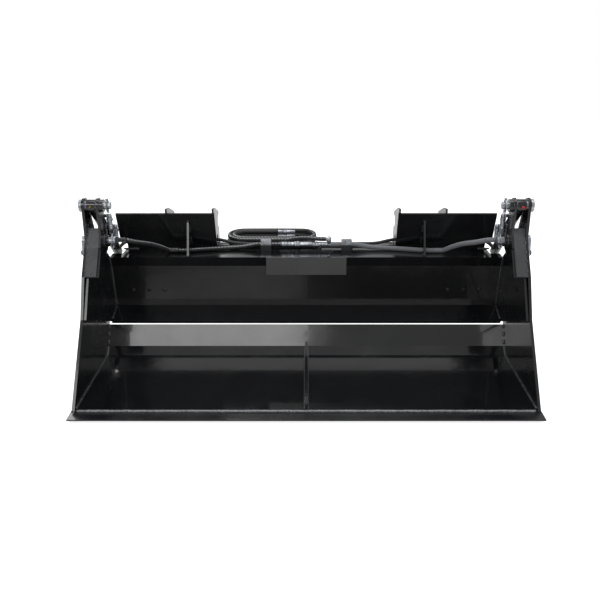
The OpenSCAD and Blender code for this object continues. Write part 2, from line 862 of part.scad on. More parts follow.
// Two tees with their nuts and ferrules, and the elbows to the supply hoses
module centre_fittings() {
    front = [clamp_y, main_z];
    back = [thin_y, back_z];
    color("#c3c6ca") placed() {
        for (side = [-1, 1]) on_side(side) {
            bar(tee_half, front, nut_r, nut_w);
            bar(tee_half + nut_w, front, fit_r, main_end - tee_half - nut_w);
            bar(tee_half, back, thin_r + thin_nut_over, nut_w);
            bar(tee_half + nut_w, back, thin_r + thin_over, back_stop - tee_half - nut_w);
        }
        bar(-tee_half, front, fit_r, 2 * tee_half);
        bar(-tee_half, back, fit_r, 2 * tee_half);
        translate([low_x, back[0], coil_z]) rotate([-90, 0, 0])
            cylinder(r = fit_r, h = lead_low_route[0][1] + fit_r - back[0]);
        bar(lead_low_route[0][0], [lead_low_route[0][1], coil_z], fit_r, low_x - lead_low_route[0][0]);
        translate([high_x, front[0], front[1]])
            cylinder(r = fit_r, h = lead_high_route[0][2] + fit_r - front[1]);
        bar(lead_high_route[0][0], [front[0], lead_high_route[0][2]], fit_r,
            high_x - lead_high_route[0][0]);
    }
}

// A hose along a route, for the right side or mirrored to the left
module routed(side, route, r) {
    placed() on_side(side) tube(smooth(route, route_step), r, 8);
}

module hose_main(side) {
    color("#1d1e20") routed(side, hose_a_route, hose_r);
}

module hose_main_end(side) {
    color("#1d1e20") routed(side, hose_a_end_route, hose_r);
}

module hose_return(side) {
    color("#1d1e20") routed(side, hose_b_route, thin_r);
}

module hose_return_end(side) {
    color("#1d1e20") routed(side, hose_b_end_route, thin_r);
}

module supply_lead(route) {
    color("#1d1e20") placed() tube(smooth(route, route_step), supply_r, 8);
}

module supply_coil(path) {
    color("#1d1e20") placed() tube(path, supply_r, 6);
}

module supply_couplers() {
    ends = [coil_low[len(coil_low) - 1], coil_high[len(coil_high) - 1]];
    color("#c3c6ca") placed() for (p = ends)
        translate(p) rotate([0, 90, 0]) cylinder(r = coupler_r, h = coupler_l);
}

echo(str("Least gap in the coils: ", least_gap(coil_low), " and ", least_gap(coil_high)));

cutting_edge();
bowl_sheet();
centre_rib();
heel_strip();
linch_pins();
moldboard();
moldboard_blade();
pivot_bushes();
badge_plate();
moldboard_bolts();
rear_channel();
hitch_crossbar();
plate_gussets();
flag_bolts();
clamp_blocks();
clamp_tops();
centre_fittings();
supply_lead(lead_low_route);  // supply_lead_low
supply_lead(lead_high_route);  // supply_lead_high
supply_coil(coil_low);  // supply_coil_low
supply_coil(coil_high);  // supply_coil_high
supply_couplers();
side_plate(-1);  // side_plate_left
side_plate(1);  // side_plate_right
lever_plate(-1);  // lever_plate_left
lever_plate(1);  // lever_plate_right
lever_cover(-1);  // lever_cover_left
lever_cover(1);  // lever_cover_right
pivot_pin(-1);  // pivot_pin_left
pivot_pin(1);  // pivot_pin_right
ram_pin(-1);  // ram_pin_left
ram_pin(1);  // ram_pin_right
wing(-1);  // wing_left
wing(1);  // wing_right
rod_lugs(-1);  // rod_lugs_left
rod_lugs(1);  // rod_lugs_right
hitch_plate(-1);  // hitch_plate_left
hitch_plate(1);  // hitch_plate_right
barrel(-1);  // barrel_left
barrel(1);  // barrel_right
gland(-1);  // gland_left
gland(1);  // gland_right
barrel_fittings(-1);  // barrel_fittings_left
barrel_fittings(1);  // barrel_fittings_right
rod(-1);  // rod_left
rod(1);  // rod_right
rod_pin_set(-1);  // rod_pin_left
rod_pin_set(1);  // rod_pin_right
hose_main(-1);  // hose_main_left
hose_main(1);  // hose_main_right
hose_return(-1);  // hose_return_left
hose_return(1);  // hose_return_right
hose_main_end(-1);  // hose_main_left_end
hose_main_end(1);  // hose_main_right_end
hose_return_end(-1);  // hose_return_left_end
hose_return_end(1);  // hose_return_right_end
hitch_rib(-1, hitch_in + rib_set + hitch_t);  // hitch_rib_left_in
hitch_rib(-1, rib_out_x);  // hitch_rib_left_out
hitch_rib(1, hitch_in + rib_set + hitch_t);  // hitch_rib_right_in
hitch_rib(1, rib_out_x);  // hitch_rib_right_out
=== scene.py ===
"""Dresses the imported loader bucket: paint, zinc, hoses, weld beads and fittings.

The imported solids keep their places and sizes. This script gives them their finishes, replaces the
plain hoses, couplings, fittings and moldboard bolts with finished ones, and adds weld beads, grease
nipples and a dust cap. Places and sizes are written in millimetres from the lip and the floor
plate's top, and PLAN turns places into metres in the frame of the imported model.
"""

import logging
import math
import random
from dataclasses import dataclass, field
from enum import Enum
from typing import Callable, Optional, Sequence

import bmesh
import bpy
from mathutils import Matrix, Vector

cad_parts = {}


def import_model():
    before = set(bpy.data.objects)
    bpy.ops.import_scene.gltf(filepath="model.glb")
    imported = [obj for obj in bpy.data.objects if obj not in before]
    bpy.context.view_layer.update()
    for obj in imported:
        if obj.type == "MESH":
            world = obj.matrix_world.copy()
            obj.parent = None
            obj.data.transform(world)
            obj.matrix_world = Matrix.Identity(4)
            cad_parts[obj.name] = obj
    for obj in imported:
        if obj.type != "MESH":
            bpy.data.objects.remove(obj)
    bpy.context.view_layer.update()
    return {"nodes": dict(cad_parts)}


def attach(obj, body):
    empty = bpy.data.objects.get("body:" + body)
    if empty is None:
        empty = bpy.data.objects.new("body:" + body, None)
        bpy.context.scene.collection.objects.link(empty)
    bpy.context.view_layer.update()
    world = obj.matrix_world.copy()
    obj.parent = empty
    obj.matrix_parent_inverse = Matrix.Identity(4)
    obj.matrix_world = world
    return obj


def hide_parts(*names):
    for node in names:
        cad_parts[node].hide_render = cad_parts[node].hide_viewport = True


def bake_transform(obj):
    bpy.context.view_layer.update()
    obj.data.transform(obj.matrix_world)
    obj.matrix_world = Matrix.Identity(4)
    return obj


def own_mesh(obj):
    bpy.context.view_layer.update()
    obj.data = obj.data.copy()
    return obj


log = logging.getLogger("loader_bucket")
BMesh = bmesh.types.BMesh
Material = bpy.types.Material
MM = 0.001
TURN = 2.0 * math.pi
EAST = Vector((1.0, 0.0, 0.0))
REAR = Vector((0.0, 1.0, 0.0))
UP = Vector((0.0, 0.0, 1.0))
# Each stretch between two points of a route is cut into this many pieces
STEPS = 10
# A wave texture's scale is divided by this, so that its light and dark bands are one size wide
BAND_PACE = 6.3


class Side(Enum):
    """The two sides of the bucket, with the sign of X on each."""

    LEFT = -1
    RIGHT = 1

    @property
    def word(self) -> str:
        """The side's name as the nodes spell it."""
        return self.name.lower()


# Shared helpers: colour, node graphs and materials


def linear(code: str) -> tuple[float, float, float, float]:
    """Turns an sRGB hex colour into linear light.

    Args:
        code: Six hex digits after a hash sign.

    Returns:
        Red, green, blue and an alpha of 1.
    """

    def channel(value: float) -> float:
        """One channel from sRGB to linear."""
        return value / 12.92 if value <= 0.04045 else ((value + 0.055) / 1.055) ** 2.4

    return (*(channel(int(code[i : i + 2], 16) / 255) for i in (1, 3, 5)), 1.0)


def per_mm(size_mm: float) -> float:
    """The scale of a texture whose features are this many millimetres across."""
    return 1.0 / (size_mm * MM)


def add_node(
    tree: bpy.types.NodeTree,
    kind: str,
    settings: Optional[dict] = None,
    inputs: Optional[dict] = None,
    links: Optional[dict] = None,
) -> bpy.types.Node:
    """Adds one node with its settings, socket values and incoming links.

    Args:
        tree: The material's node tree.
        kind: The node's type, without the ShaderNode prefix.
        settings: Attributes of the node itself.
        inputs: Socket names or indices with their fixed values.
        links: Socket names or indices with the output sockets that feed them.

    Returns:
        The new node.
    """
    node = tree.nodes.new("ShaderNode" + kind)
    for key, value in (settings or {}).items():
        setattr(node, key, value)
    for key, value in (inputs or {}).items():
        node.inputs[key].default_value = value
    for key, source in (links or {}).items():
        tree.links.new(source, node.inputs[key])
    return node


@dataclass
class Shader:
    """A new material with its node tree, its coordinates and its main shader."""

    name: str
    material: Material = field(init=False)
    tree: bpy.types.NodeTree = field(init=False)

    def __post_init__(self) -> None:
        """Makes the material with an empty node tree."""
        self.material = bpy.data.materials.new(self.name)
        self.material.use_nodes = True
        self.tree = self.material.node_tree
        self.tree.nodes.clear()
        where = add_node(self.tree, "TexCoord")
        self.place = where.outputs["Object"]
        self.unrolled = where.outputs["UV"]

    def mottle(self, size_mm: float, detail: float, *scales: Sequence[tuple]) -> list:
        """Uneven patches of a real size, read through one scale for each wanted output.

        Args:
            size_mm: The width of a patch.
            detail: How many finer layers the patches have.
            scales: For each output, two places from 0 to 1 with a grey level or a linear colour.

        Returns:
            One socket for each scale.
        """
        scale = {"Scale": per_mm(size_mm), "Detail": detail, "Roughness": 0.6}
        patches = add_node(self.tree, "TexNoise", inputs=scale, links={"Vector": self.place})
        outputs = []
        for stops in scales:
            read = add_node(self.tree, "ValToRGB", links={"Fac": patches.outputs["Fac"]})
            for element, (place, value) in zip(read.color_ramp.elements, stops):
                element.position = place
                element.color = (value, value, value, 1.0) if isinstance(value, float) else value
            outputs.append(read.outputs["Color"])
        return outputs

    def relief(
        self, size_mm: float, depth_mm: float, under: Optional[bpy.types.NodeSocket] = None
    ) -> bpy.types.NodeSocket:
        """Low waves of a real size, raised on the surface.

        Args:
            size_mm: The width of a wave.
            depth_mm: Its height.
            under: A relief that this one lies on.

        Returns:
            The normal's socket.
        """
        scale = {"Scale": per_mm(size_mm), "Detail": 1.0}
        waves = add_node(self.tree, "TexNoise", inputs=scale, links={"Vector": self.place})
        links = {"Height": waves.outputs["Fac"]}
        if under is not None:
            links["Normal"] = under
        raised = add_node(self.tree, "Bump", inputs={"Distance": depth_mm * MM}, links=links)
        return raised.outputs["Normal"]

    def finish(self, inputs: dict, links: dict) -> Material:
        """Adds the main shader and the output.

        Args:
            inputs: Fixed values of the main shader.
            links: Sockets that feed the main shader.

        Returns:
            The finished material.
        """
        main = add_node(self.tree, "BsdfPrincipled", inputs=inputs, links=links)
        add_node(self.tree, "OutputMaterial", links={"Surface": main.outputs["BSDF"]})
        return self.material


# Finishes


@dataclass(frozen=True)
class SprayedEnamel:
    """Two-pack black enamel sprayed on plate: deep gloss, slight orange peel, dust and scuffs."""

    name: str
    colour: str = "#101113"
    dust: str = "#3a3b3c"
    roughness: float = 0.14
    worn_roughness: float = 0.34
    peel_mm: float = 4.0
    peel_depth_mm: float = 0.02
    dust_share: float = 0.58
    coat: float = 0.6
    cloud_mm: float = 150.0
    speck_mm: float = 2.6
    wave_mm: float = 34.0
    wave_depth_mm: float = 0.13

    def build(self) -> Material:
        """Makes the enamel's material."""
        s = Shader(self.name)
        # Sharp reflections with dusty, duller clouds: the eye reads sprayed paint and not plastic
        wear = [(0.3, self.roughness), (0.75, self.worn_roughness)]
        patchy, gloss = s.mottle(self.cloud_mm, 4.0, [(0.42, 0.0), (0.72, 0.55)], wear)
        specks = [(self.dust_share, 0.0), (self.dust_share + 0.16, 1.0)]
        (dusty,) = s.mottle(self.speck_mm, 2.0, specks)
        amount = add_node(s.tree, "Math", {"operation": "MULTIPLY"}, links={0: dusty, 1: patchy})
        tones = {6: linear(self.colour), 7: linear(self.dust)}
        colour = add_node(s.tree, "Mix", {"data_type": "RGBA"}, tones, {0: amount.outputs[0]})
        waved = s.relief(self.wave_mm, self.wave_depth_mm)
        return s.finish(
            {"IOR": 1.5, "Coat Weight": self.coat, "Coat Roughness": 0.05, "Coat IOR": 1.5},
            {
                "Base Color": colour.outputs[2],
                "Roughness": gloss,
                "Normal": s.relief(self.peel_mm, self.peel_depth_mm, waved),
                "Coat Normal": waved,
            },
        )


@dataclass(frozen=True)
class PaintedBead:
    """A weld bead under enamel, greyer than the plates, with lighter patches: painted sheen and
    painted glints for the light that the glossy bead catches.
    """

    name: str
    # The bead colour is greyer than the enamel and the crest colour lighter still: painted sheen
    # and painted glints
    colour: str = "#1d1f22"
    crest: str = "#4a4d51"
    glint_patch_mm: float = 7.0
    ripple_mm: float = 1.6
    ripple_depth_mm: float = 0.08

    def build(self) -> Material:
        """Makes the bead's material."""
        s = Shader(self.name)
        # Painted glints: lighter patches of the crest colour, spread by noise, stand for highlights
        # on the crests, with the darker bead colour between them
        tones = [(0.35, linear(self.colour)), (0.75, linear(self.crest))]
        (colour,) = s.mottle(self.glint_patch_mm, 2.0, tones)
        (gloss,) = s.mottle(self.ripple_mm, 3.0, [(0.3, 0.16), (0.8, 0.36)])
        ripples = s.relief(self.ripple_mm, self.ripple_depth_mm)
        return s.finish(
            {"IOR": 1.5, "Coat Weight": 0.7, "Coat Roughness": 0.08},
            {"Base Color": colour, "Roughness": gloss, "Normal": ripples},
        )


@dataclass(frozen=True)
class Metal:
    """A metal in two tones: bright where it is clean, and duller in patches."""

    name: str
    colour: str
    dull: str
    roughness: float
    dull_roughness: float
    patch_mm: float = 18.0
    grain_mm: float = 0.9
    grain_depth_mm: float = 0.02
    metallic: float = 1.0

    def build(self) -> Material:
        """Makes the metal's material."""
        s = Shader(self.name)
        # Dull patches break up the reflection, so the eye reads handled metal and not a mirror
        tones = [(0.35, linear(self.dull)), (0.62, linear(self.colour))]
        wear = [(0.3, self.dull_roughness), (0.7, self.roughness)]
        colour, gloss = s.mottle(self.patch_mm, 4.0, tones, wear)
        grain = s.relief(self.grain_mm, self.grain_depth_mm)
        return s.finish(
            {"Metallic": self.metallic}, {"Base Color": colour, "Roughness": gloss, "Normal": grain}
        )


@dataclass(frozen=True)
class MouldedPolypropylene:
    """Moulded polypropylene: a dull fine-grained plastic."""

    name: str
    colour: str = "#232528"
    lighter: str = "#2d3034"
    roughness: float = 0.46
    patch_mm: float = 14.0
    grain_mm: float = 0.8
    grain_depth_mm: float = 0.04

    def build(self) -> Material:
        """Makes the plastic's material."""
        s = Shader(self.name)
        # A broad soft highlight with a fine grain tells plastic from the paint beside it
        tones = [(0.3, linear(self.colour)), (0.9, linear(self.lighter))]
        wear = [(0.3, self.roughness), (0.8, self.roughness + 0.12)]
        colour, gloss = s.mottle(self.patch_mm, 2.0, tones, wear)
        grain = s.relief(self.grain_mm, self.grain_depth_mm)
        return s.finish({"IOR": 1.49}, {"Base Color": colour, "Roughness": gloss, "Normal": grain})


@dataclass(frozen=True)
class HoseRubber:
    """Wrap-cured rubber hose: satin black with the faint weave that its curing tape leaves.

    A printed layline of plain dashes runs along one side where dash_mm is over zero.
    """

    name: str
    colour: str = "#17181a"
    worn_colour: str = "#2b2c2e"
    print_colour: str = "#a9abad"
    wrap_mm: float = 2.4
    wrap_depth_mm: float = 0.07
    patch_mm: float = 24.0
    dash_mm: float = 0.0
    gap_mm: float = 5.0
    line_share: float = 0.055

    def build(self) -> Material:
        """Makes the hose cover's material."""
        s = Shader(self.name)
        # Fine bands round the hose catch a stripe of light along it, as wrapped rubber does
        wrap = add_node(
            s.tree,
            "TexWave",
            {"wave_type": "BANDS", "bands_direction": "Y"},
            {"Scale": per_mm(self.wrap_mm) / BAND_PACE, "Distortion": 1.2, "Detail": 2.0},
            {"Vector": s.unrolled},
        ).outputs["Fac"]
        depth = {"Distance": self.wrap_depth_mm * MM}
        normal = add_node(s.tree, "Bump", inputs=depth, links={"Height": wrap}).outputs["Normal"]
        tones = [(0.35, linear(self.colour)), (0.8, linear(self.worn_colour))]
        colour, gloss = s.mottle(self.patch_mm, 4.0, tones, [(0.3, 0.38), (0.8, 0.55)])
        if self.dash_mm > 0:
            across, along = add_node(s.tree, "SeparateXYZ", links={0: s.unrolled}).outputs[:2]
            pace = {1: (self.dash_mm + self.gap_mm) * MM}
            step = add_node(s.tree, "Math", {"operation": "MODULO"}, pace, {0: along})
            dash = {1: self.dash_mm * MM}
            inked = add_node(s.tree, "Math", {"operation": "LESS_THAN"}, dash, {0: step.outputs[0]})
            band = {1: 0.5, 2: self.line_share / 2}
            on_line = add_node(s.tree, "Math", {"operation": "COMPARE"}, band, {0: across})
            both = {0: inked.outputs[0], 1: on_line.outputs[0]}
            mask = add_node(s.tree, "Math", {"operation": "MULTIPLY"}, links=both).outputs[0]
            ink = {7: linear(self.print_colour)}
            printed = add_node(s.tree, "Mix", {"data_type": "RGBA"}, ink, {0: mask, 6: colour})
            colour = printed.outputs[2]
        return s.finish(
            {"IOR": 1.52}, {"Base Color": colour, "Roughness": gloss, "Normal": normal}
        )


@dataclass(frozen=True)
class BraidedSleeve:
    """Woven nylon sleeve over a hose: plain grey, a tight diagonal weave with a soft sheen."""

    name: str = "woven_grey_sleeve"
    colour: str = "#7d8084"
    shade: str = "#4b4e52"
    strand_mm: float = 2.4
    strand_depth_mm: float = 0.3
    round_m: float = 0.056

    def build(self) -> Material:
        """Makes the sleeve's material."""
        s = Shader(self.name)
        # Two crossing sets of strands with dark gaps read as cloth beside the rubber hoses
        weave = {}
        for k, slope in enumerate((1.0, -1.0)):
            turn = {"Scale": (slope * self.round_m, 1.0, 1.0)}
            turned = add_node(s.tree, "Mapping", inputs=turn, links={"Vector": s.unrolled})
            weave[k] = add_node(
                s.tree,
                "TexWave",
                {"wave_type": "BANDS", "bands_direction": "DIAGONAL"},
                {"Scale": per_mm(self.strand_mm) / BAND_PACE, "Distortion": 0.3},
                {"Vector": turned.outputs[0]},
            ).outputs["Fac"]
        height = add_node(s.tree, "Math", {"operation": "MAXIMUM"}, links=weave).outputs[0]
        tones = {6: linear(self.shade), 7: linear(self.colour)}
        colour = add_node(s.tree, "Mix", {"data_type": "RGBA"}, tones, {0: height}).outputs[2]
        depth = {"Distance": self.strand_depth_mm * MM}
        normal = add_node(s.tree, "Bump", inputs=depth, links={"Height": height}).outputs["Normal"]
        return s.finish(
            {"Roughness": 0.82, "Sheen Weight": 0.3, "Sheen Roughness": 0.4},
            {"Base Color": colour, "Normal": normal},
        )


class Palette:
    """The finished materials, made once and shared by the pieces."""

    def __init__(self) -> None:
        """Builds every material."""
        self.enamel = SprayedEnamel("gloss_black_enamel").build()
        self.mirror_enamel = SprayedEnamel(
            "fresh_black_enamel", roughness=0.09, worn_roughness=0.24, dust_share=0.66
        ).build()
        self.edge_enamel = SprayedEnamel(
            "enamel_on_wear_bar", "#141517", "#4b4c4d", roughness=0.2, worn_roughness=0.46,
            peel_mm=6.0, peel_depth_mm=0.05, dust_share=0.52, coat=0.35,
        ).build()
        # A lighter grey than the rest of the enamel: painted reflection on the bent cover, which
        # faces down and forward
        self.cover_enamel = SprayedEnamel(
            "enamel_on_bent_cover", "#3b3d40", "#8b8d8f", roughness=0.2, worn_roughness=0.36,
            dust_share=0.5,
        ).build()
        # Weld beads in greyer tones than the enamel: painted sheen on the glossy curved beads
        self.bead = PaintedBead("enamelled_weld_bead").build()
        # The lip weld's light greys are painted sheen: the glossy bead shines bright all along the
        # lip
        self.lip_bead = PaintedBead("thinly_painted_lip_weld", "#4e5154", "#94979a").build()
        self.zinc = Metal("zinc_plated_steel", "#c3c7cc", "#8f959b", 0.24, 0.44).build()
        self.clamp_plate = Metal("pressed_clamp_plate", "#b8bcc0", "#888d92", 0.3, 0.5).build()
        self.turned = Metal(
            "turned_steel", "#8d9196", "#5d5f61", 0.26, 0.42, patch_mm=22.0
        ).build()
        self.chrome = Metal(
            "hard_chrome", "#d8dbdf", "#c9ccd0", 0.06, 0.16, patch_mm=30.0, grain_mm=0.7,
            grain_depth_mm=0.004,
        ).build()
        self.oxide = Metal(
            "black_oxide_steel", "#4a4c50", "#232427", 0.26, 0.38, patch_mm=6.0, metallic=0.85
        ).build()
        self.passivated = Metal("yellow_passivated_steel", "#b59a52", "#80692f", 0.3, 0.45).build()
        self.clamp = MouldedPolypropylene("moulded_clamp_body").build()
        self.red_cap = MouldedPolypropylene(
            "moulded_red_cap", "#a3161c", "#b8242a", roughness=0.38
        ).build()
        self.hose = HoseRubber("smooth_rubber_hose").build()
        self.lined_hose = HoseRubber("rubber_hose_with_layline", dash_mm=8.0).build()
        self.sleeve = BraidedSleeve().build()


# Mesh forms


def new_piece(
    name: str, mesh: BMesh, material: Material, smooth: bool = True
) -> bpy.types.Object:
    """Turns a bmesh into an object in the scene.

    Args:
        name: The object's name.
        mesh: The geometry, which is freed.
        material: The object's material.
        smooth: Whether its faces are shaded smooth.

    Returns:
        The new object.
    """
    data = bpy.data.meshes.new(name)
    bmesh.ops.recalc_face_normals(mesh, faces=mesh.faces)
    for face in mesh.faces:
        face.smooth = smooth
    mesh.to_mesh(data)
    mesh.free()
    data.materials.append(material)
    piece = bpy.data.objects.new(name, data)
    bpy.context.scene.collection.objects.link(piece)
    return piece


def curve_through(points: Sequence[Vector]) -> list[Vector]:
    """A smooth line through points, the same way as the solids' own routes.

    Args:
        points: The points that the line passes.

    Returns:
        The points of the smooth line.
    """
    line = []
    last = len(points) - 1
    for i in range(last):
        a, b, c, d = (points[max(i - 1, 0)], points[i], points[i + 1], points[min(i + 2, last)])
        bend, twist = 2 * a - 5 * b + 4 * c - d, 3 * b - a - 3 * c + d
        for k in range(STEPS):
            u = k / STEPS
            line.append((2 * b + (c - a) * u + bend * u**2 + twist * u**3) / 2)
    line.append(points[last])
    return line


def even_line(points: Sequence[Vector], step: float) -> list[Vector]:
    """The same line with its points a set distance apart.

    Args:
        points: A line's points.
        step: The wanted distance between points.

    Returns:
        The evenly spaced points.
    """
    reach = [0.0]
    for a, b in zip(points, points[1:]):
        reach.append(reach[-1] + (b - a).length)
    count = max(2, round(reach[-1] / step))
    out = []
    j = 0
    for i in range(count + 1):
        want = reach[-1] * i / count
        while j < len(points) - 2 and reach[j + 1] < want:
            j += 1
        span = reach[j + 1] - reach[j]
        share = (want - reach[j]) / span if span else 0.0
        out.append(points[j].lerp(points[j + 1], min(1.0, max(0.0, share))))
    return out


def line_length(points: Sequence[Vector]) -> float:
    """The length of a line through points."""
    return sum((b - a).length for a, b in zip(points, points[1:]))


def tube_mesh(
    line: Sequence[Vector],
    radius: float | Callable[[float, float, float], float],
    sides: int,
    start: float = 0.0,
) -> BMesh:
    """Sweeps a round section along a line, with its unrolled coordinates in metres along it.

    Args:
        line: The points of the centre line.
        radius: The radius, or a function of the distance along, the share along and the angle.
        sides: How many sides the section has.
        start: The distance that the unrolled coordinates start from.

    Returns:
        The closed tube.
    """
    mesh = bmesh.new()
    layer = mesh.loops.layers.uv.new("unrolled")
    total = line_length(line)
    rings = []
    marks = []
    reach = 0.0
    last = len(line) - 1
    # None of the lines runs along the direction that the section starts from
    normal = Vector((0.1, 0.7, -0.8))
    for i, p in enumerate(line):
        run = (line[min(i + 1, last)] - line[max(i - 1, 0)]).normalized()
        normal = (normal - run * normal.dot(run)).normalized()
        across = run.cross(normal)
        if i:
            reach += (p - line[i - 1]).length
        marks.append(reach)
        ring = []
        for k in range(sides):
            a = TURN * k / sides
            r = radius(reach, reach / total, a) if callable(radius) else radius
            ring.append(mesh.verts.new(p + r * (math.cos(a) * normal + math.sin(a) * across)))
        rings.append(ring)
    for i in range(last):
        for k in range(sides):
            n = (k + 1) % sides
            face = mesh.faces.new((rings[i][k], rings[i][n], rings[i + 1][n], rings[i + 1][k]))
            spots = ((k, i), (k + 1, i), (k + 1, i + 1), (k, i + 1))
            for loop, (u, v) in zip(face.loops, spots):
                loop[layer].uv = (u / sides, start + marks[v])
    mesh.faces.new(rings[0][::-1])
    mesh.faces.new(rings[-1])
    return mesh


def axes(along: Vector) -> tuple[Vector, Vector, Vector]:
    """A direction at unit length, with two more that are square to it and to each other."""
    run = along.normalized()
    aside = run.orthogonal().normalized()
    return run, aside, run.cross(aside)


def bridge(mesh: BMesh, one: Sequence, two: Sequence) -> None:
    """Joins two rings of vertices with a band of faces."""
    for k, corner in enumerate(one):
        n = (k + 1) % len(one)
        mesh.faces.new((corner, one[n], two[n], two[k]))


def lathe_mesh(
    profile: Sequence[tuple[float, float]],
    base: Vector,
    along: Vector,
    sides: int = 32,
    shape: Optional[Callable[[float, float], float]] = None,
) -> BMesh:
    """Turns a profile in millimetres round an axis.

    Args:
        profile: Pairs of distance along the axis and radius, from one end to the other.
        base: The axis's starting place.
        along: The axis's direction.
        sides: How many sides the form has.
        shape: A function of the radius and the angle that gives the radius there.

    Returns:
        The closed form.
    """
    mesh = bmesh.new()
    run, aside, across = axes(along)
    rings = []
    for reach, r in profile:
        ring = []
        for k in range(sides):
            a = TURN * k / sides
            here = (shape(r, a) if shape else r) * MM
            spoke = here * (math.cos(a) * aside + math.sin(a) * across)
            ring.append(mesh.verts.new(base + run * (reach * MM) + spoke))
        rings.append(ring)
    for one, two in zip(rings, rings[1:]):
        bridge(mesh, one, two)
    mesh.faces.new(rings[0][::-1])
    mesh.faces.new(rings[-1])
    return mesh


def hexagon(flats: float) -> Callable[[float, float], float]:
    """A hexagonal section, rounded off where a turned bevel cuts it.

    Args:
        flats: The distance from the axis to a flat.

    Returns:
        A function of the turned radius and the angle.
    """

    def section(r: float, a: float) -> float:
        """The radius at an angle."""
        turn = (a + math.pi / 6) % (math.pi / 3) - math.pi / 6
        return min(r, flats / math.cos(turn))

    return section


def hex_mesh(base: Vector, along: Vector, length: float, corner: float) -> BMesh:
    """A hexagon nut with turned bevels at both ends.

    Args:
        base: The middle of its first face.
        along: Its axis.
        length: Its length in millimetres.
        corner: Its radius at the corners in millimetres.

    Returns:
        The nut.
    """
    flats = corner * math.cos(math.pi / 6)
    bevel = corner - flats
    profile = [
        (0.0, flats * 0.97), (bevel * 0.25, flats * 1.02), (bevel * 0.6, corner),
        (length - bevel * 0.6, corner), (length - bevel * 0.25, flats * 1.02),
        (length, flats * 0.97),
    ]
    return lathe_mesh(profile, base, along, 48, hexagon(flats))


def joined(*parts: BMesh) -> BMesh:
    """Puts several meshes into the first one.

    Args:
        parts: The meshes, of which all but the first are freed.

    Returns:
        The first mesh, holding them all.
    """
    whole = parts[0]
    for part in parts[1:]:
        data = bpy.data.meshes.new("joining")
        part.to_mesh(data)
        part.free()
        whole.from_mesh(data)
        bpy.data.meshes.remove(data)
    return whole


def ring_mesh(
    middle: Vector, along: Vector, radius: float, wire: float, sides: int = 48, wire_sides: int = 12
) -> BMesh:
    """A closed round ring of wire.

    Args:
        middle: The ring's middle.
        along: Its axis.
        radius: Its radius at the middle of the wire, in millimetres.
        wire: The wire's radius in millimetres.
        sides: How many stretches the ring has.
        wire_sides: How many sides the wire has.

    Returns:
        The ring.
    """
    mesh = bmesh.new()
    run, aside, across = axes(along)
    rings = []
    for i in range(sides):
        a = TURN * i / sides
        out = math.cos(a) * aside + math.sin(a) * across
        ring = []
        for k in range(wire_sides):
            b = TURN * k / wire_sides
            place = out * (radius + wire * math.cos(b)) + run * (wire * math.sin(b))
            ring.append(mesh.verts.new(middle + place * MM))
        rings.append(ring)
    for i, one in enumerate(rings):
        bridge(mesh, one, rings[(i + 1) % sides])
    return mesh


# Places of the bucket


@dataclass(frozen=True)
class Plan:
    """Places of the bucket in millimetres, measured from the lip and the floor plate's top."""

    half_depth: float = 426.0
    ground: float = 28.0
    face_foot: tuple = (635.0, 147.96)
    face_bend: tuple = (617.0, 323.96)
    flange_z: float = 363.96
    port_x: float = 727.0
    main_r: float = 9.0
    thin_r: float = 6.75
    supply_r: float = 9.0
    clamp_y: float = 705.0
    main_z: float = 386.46
    back_y: float = 730.0
    back_z: float = 380.96
    low_exit_x: float = 54.0
    high_exit_x: float = 92.0
    lead_z: float = 409.0
    coil_front_y: float = 749.0

    def at(self, x: float, y: float, z: float) -> Vector:
        """A place in metres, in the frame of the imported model."""
        return Vector((x, y - self.half_depth, z + self.ground)) * MM

    def line(self, points: Sequence[tuple], sign: float = 1.0) -> list[Vector]:
        """Several places, mirrored to the left side where the sign is -1."""
        return [self.at(sign * x, y, z) for x, y, z in points]


PLAN = Plan()


# Camera, light and floor


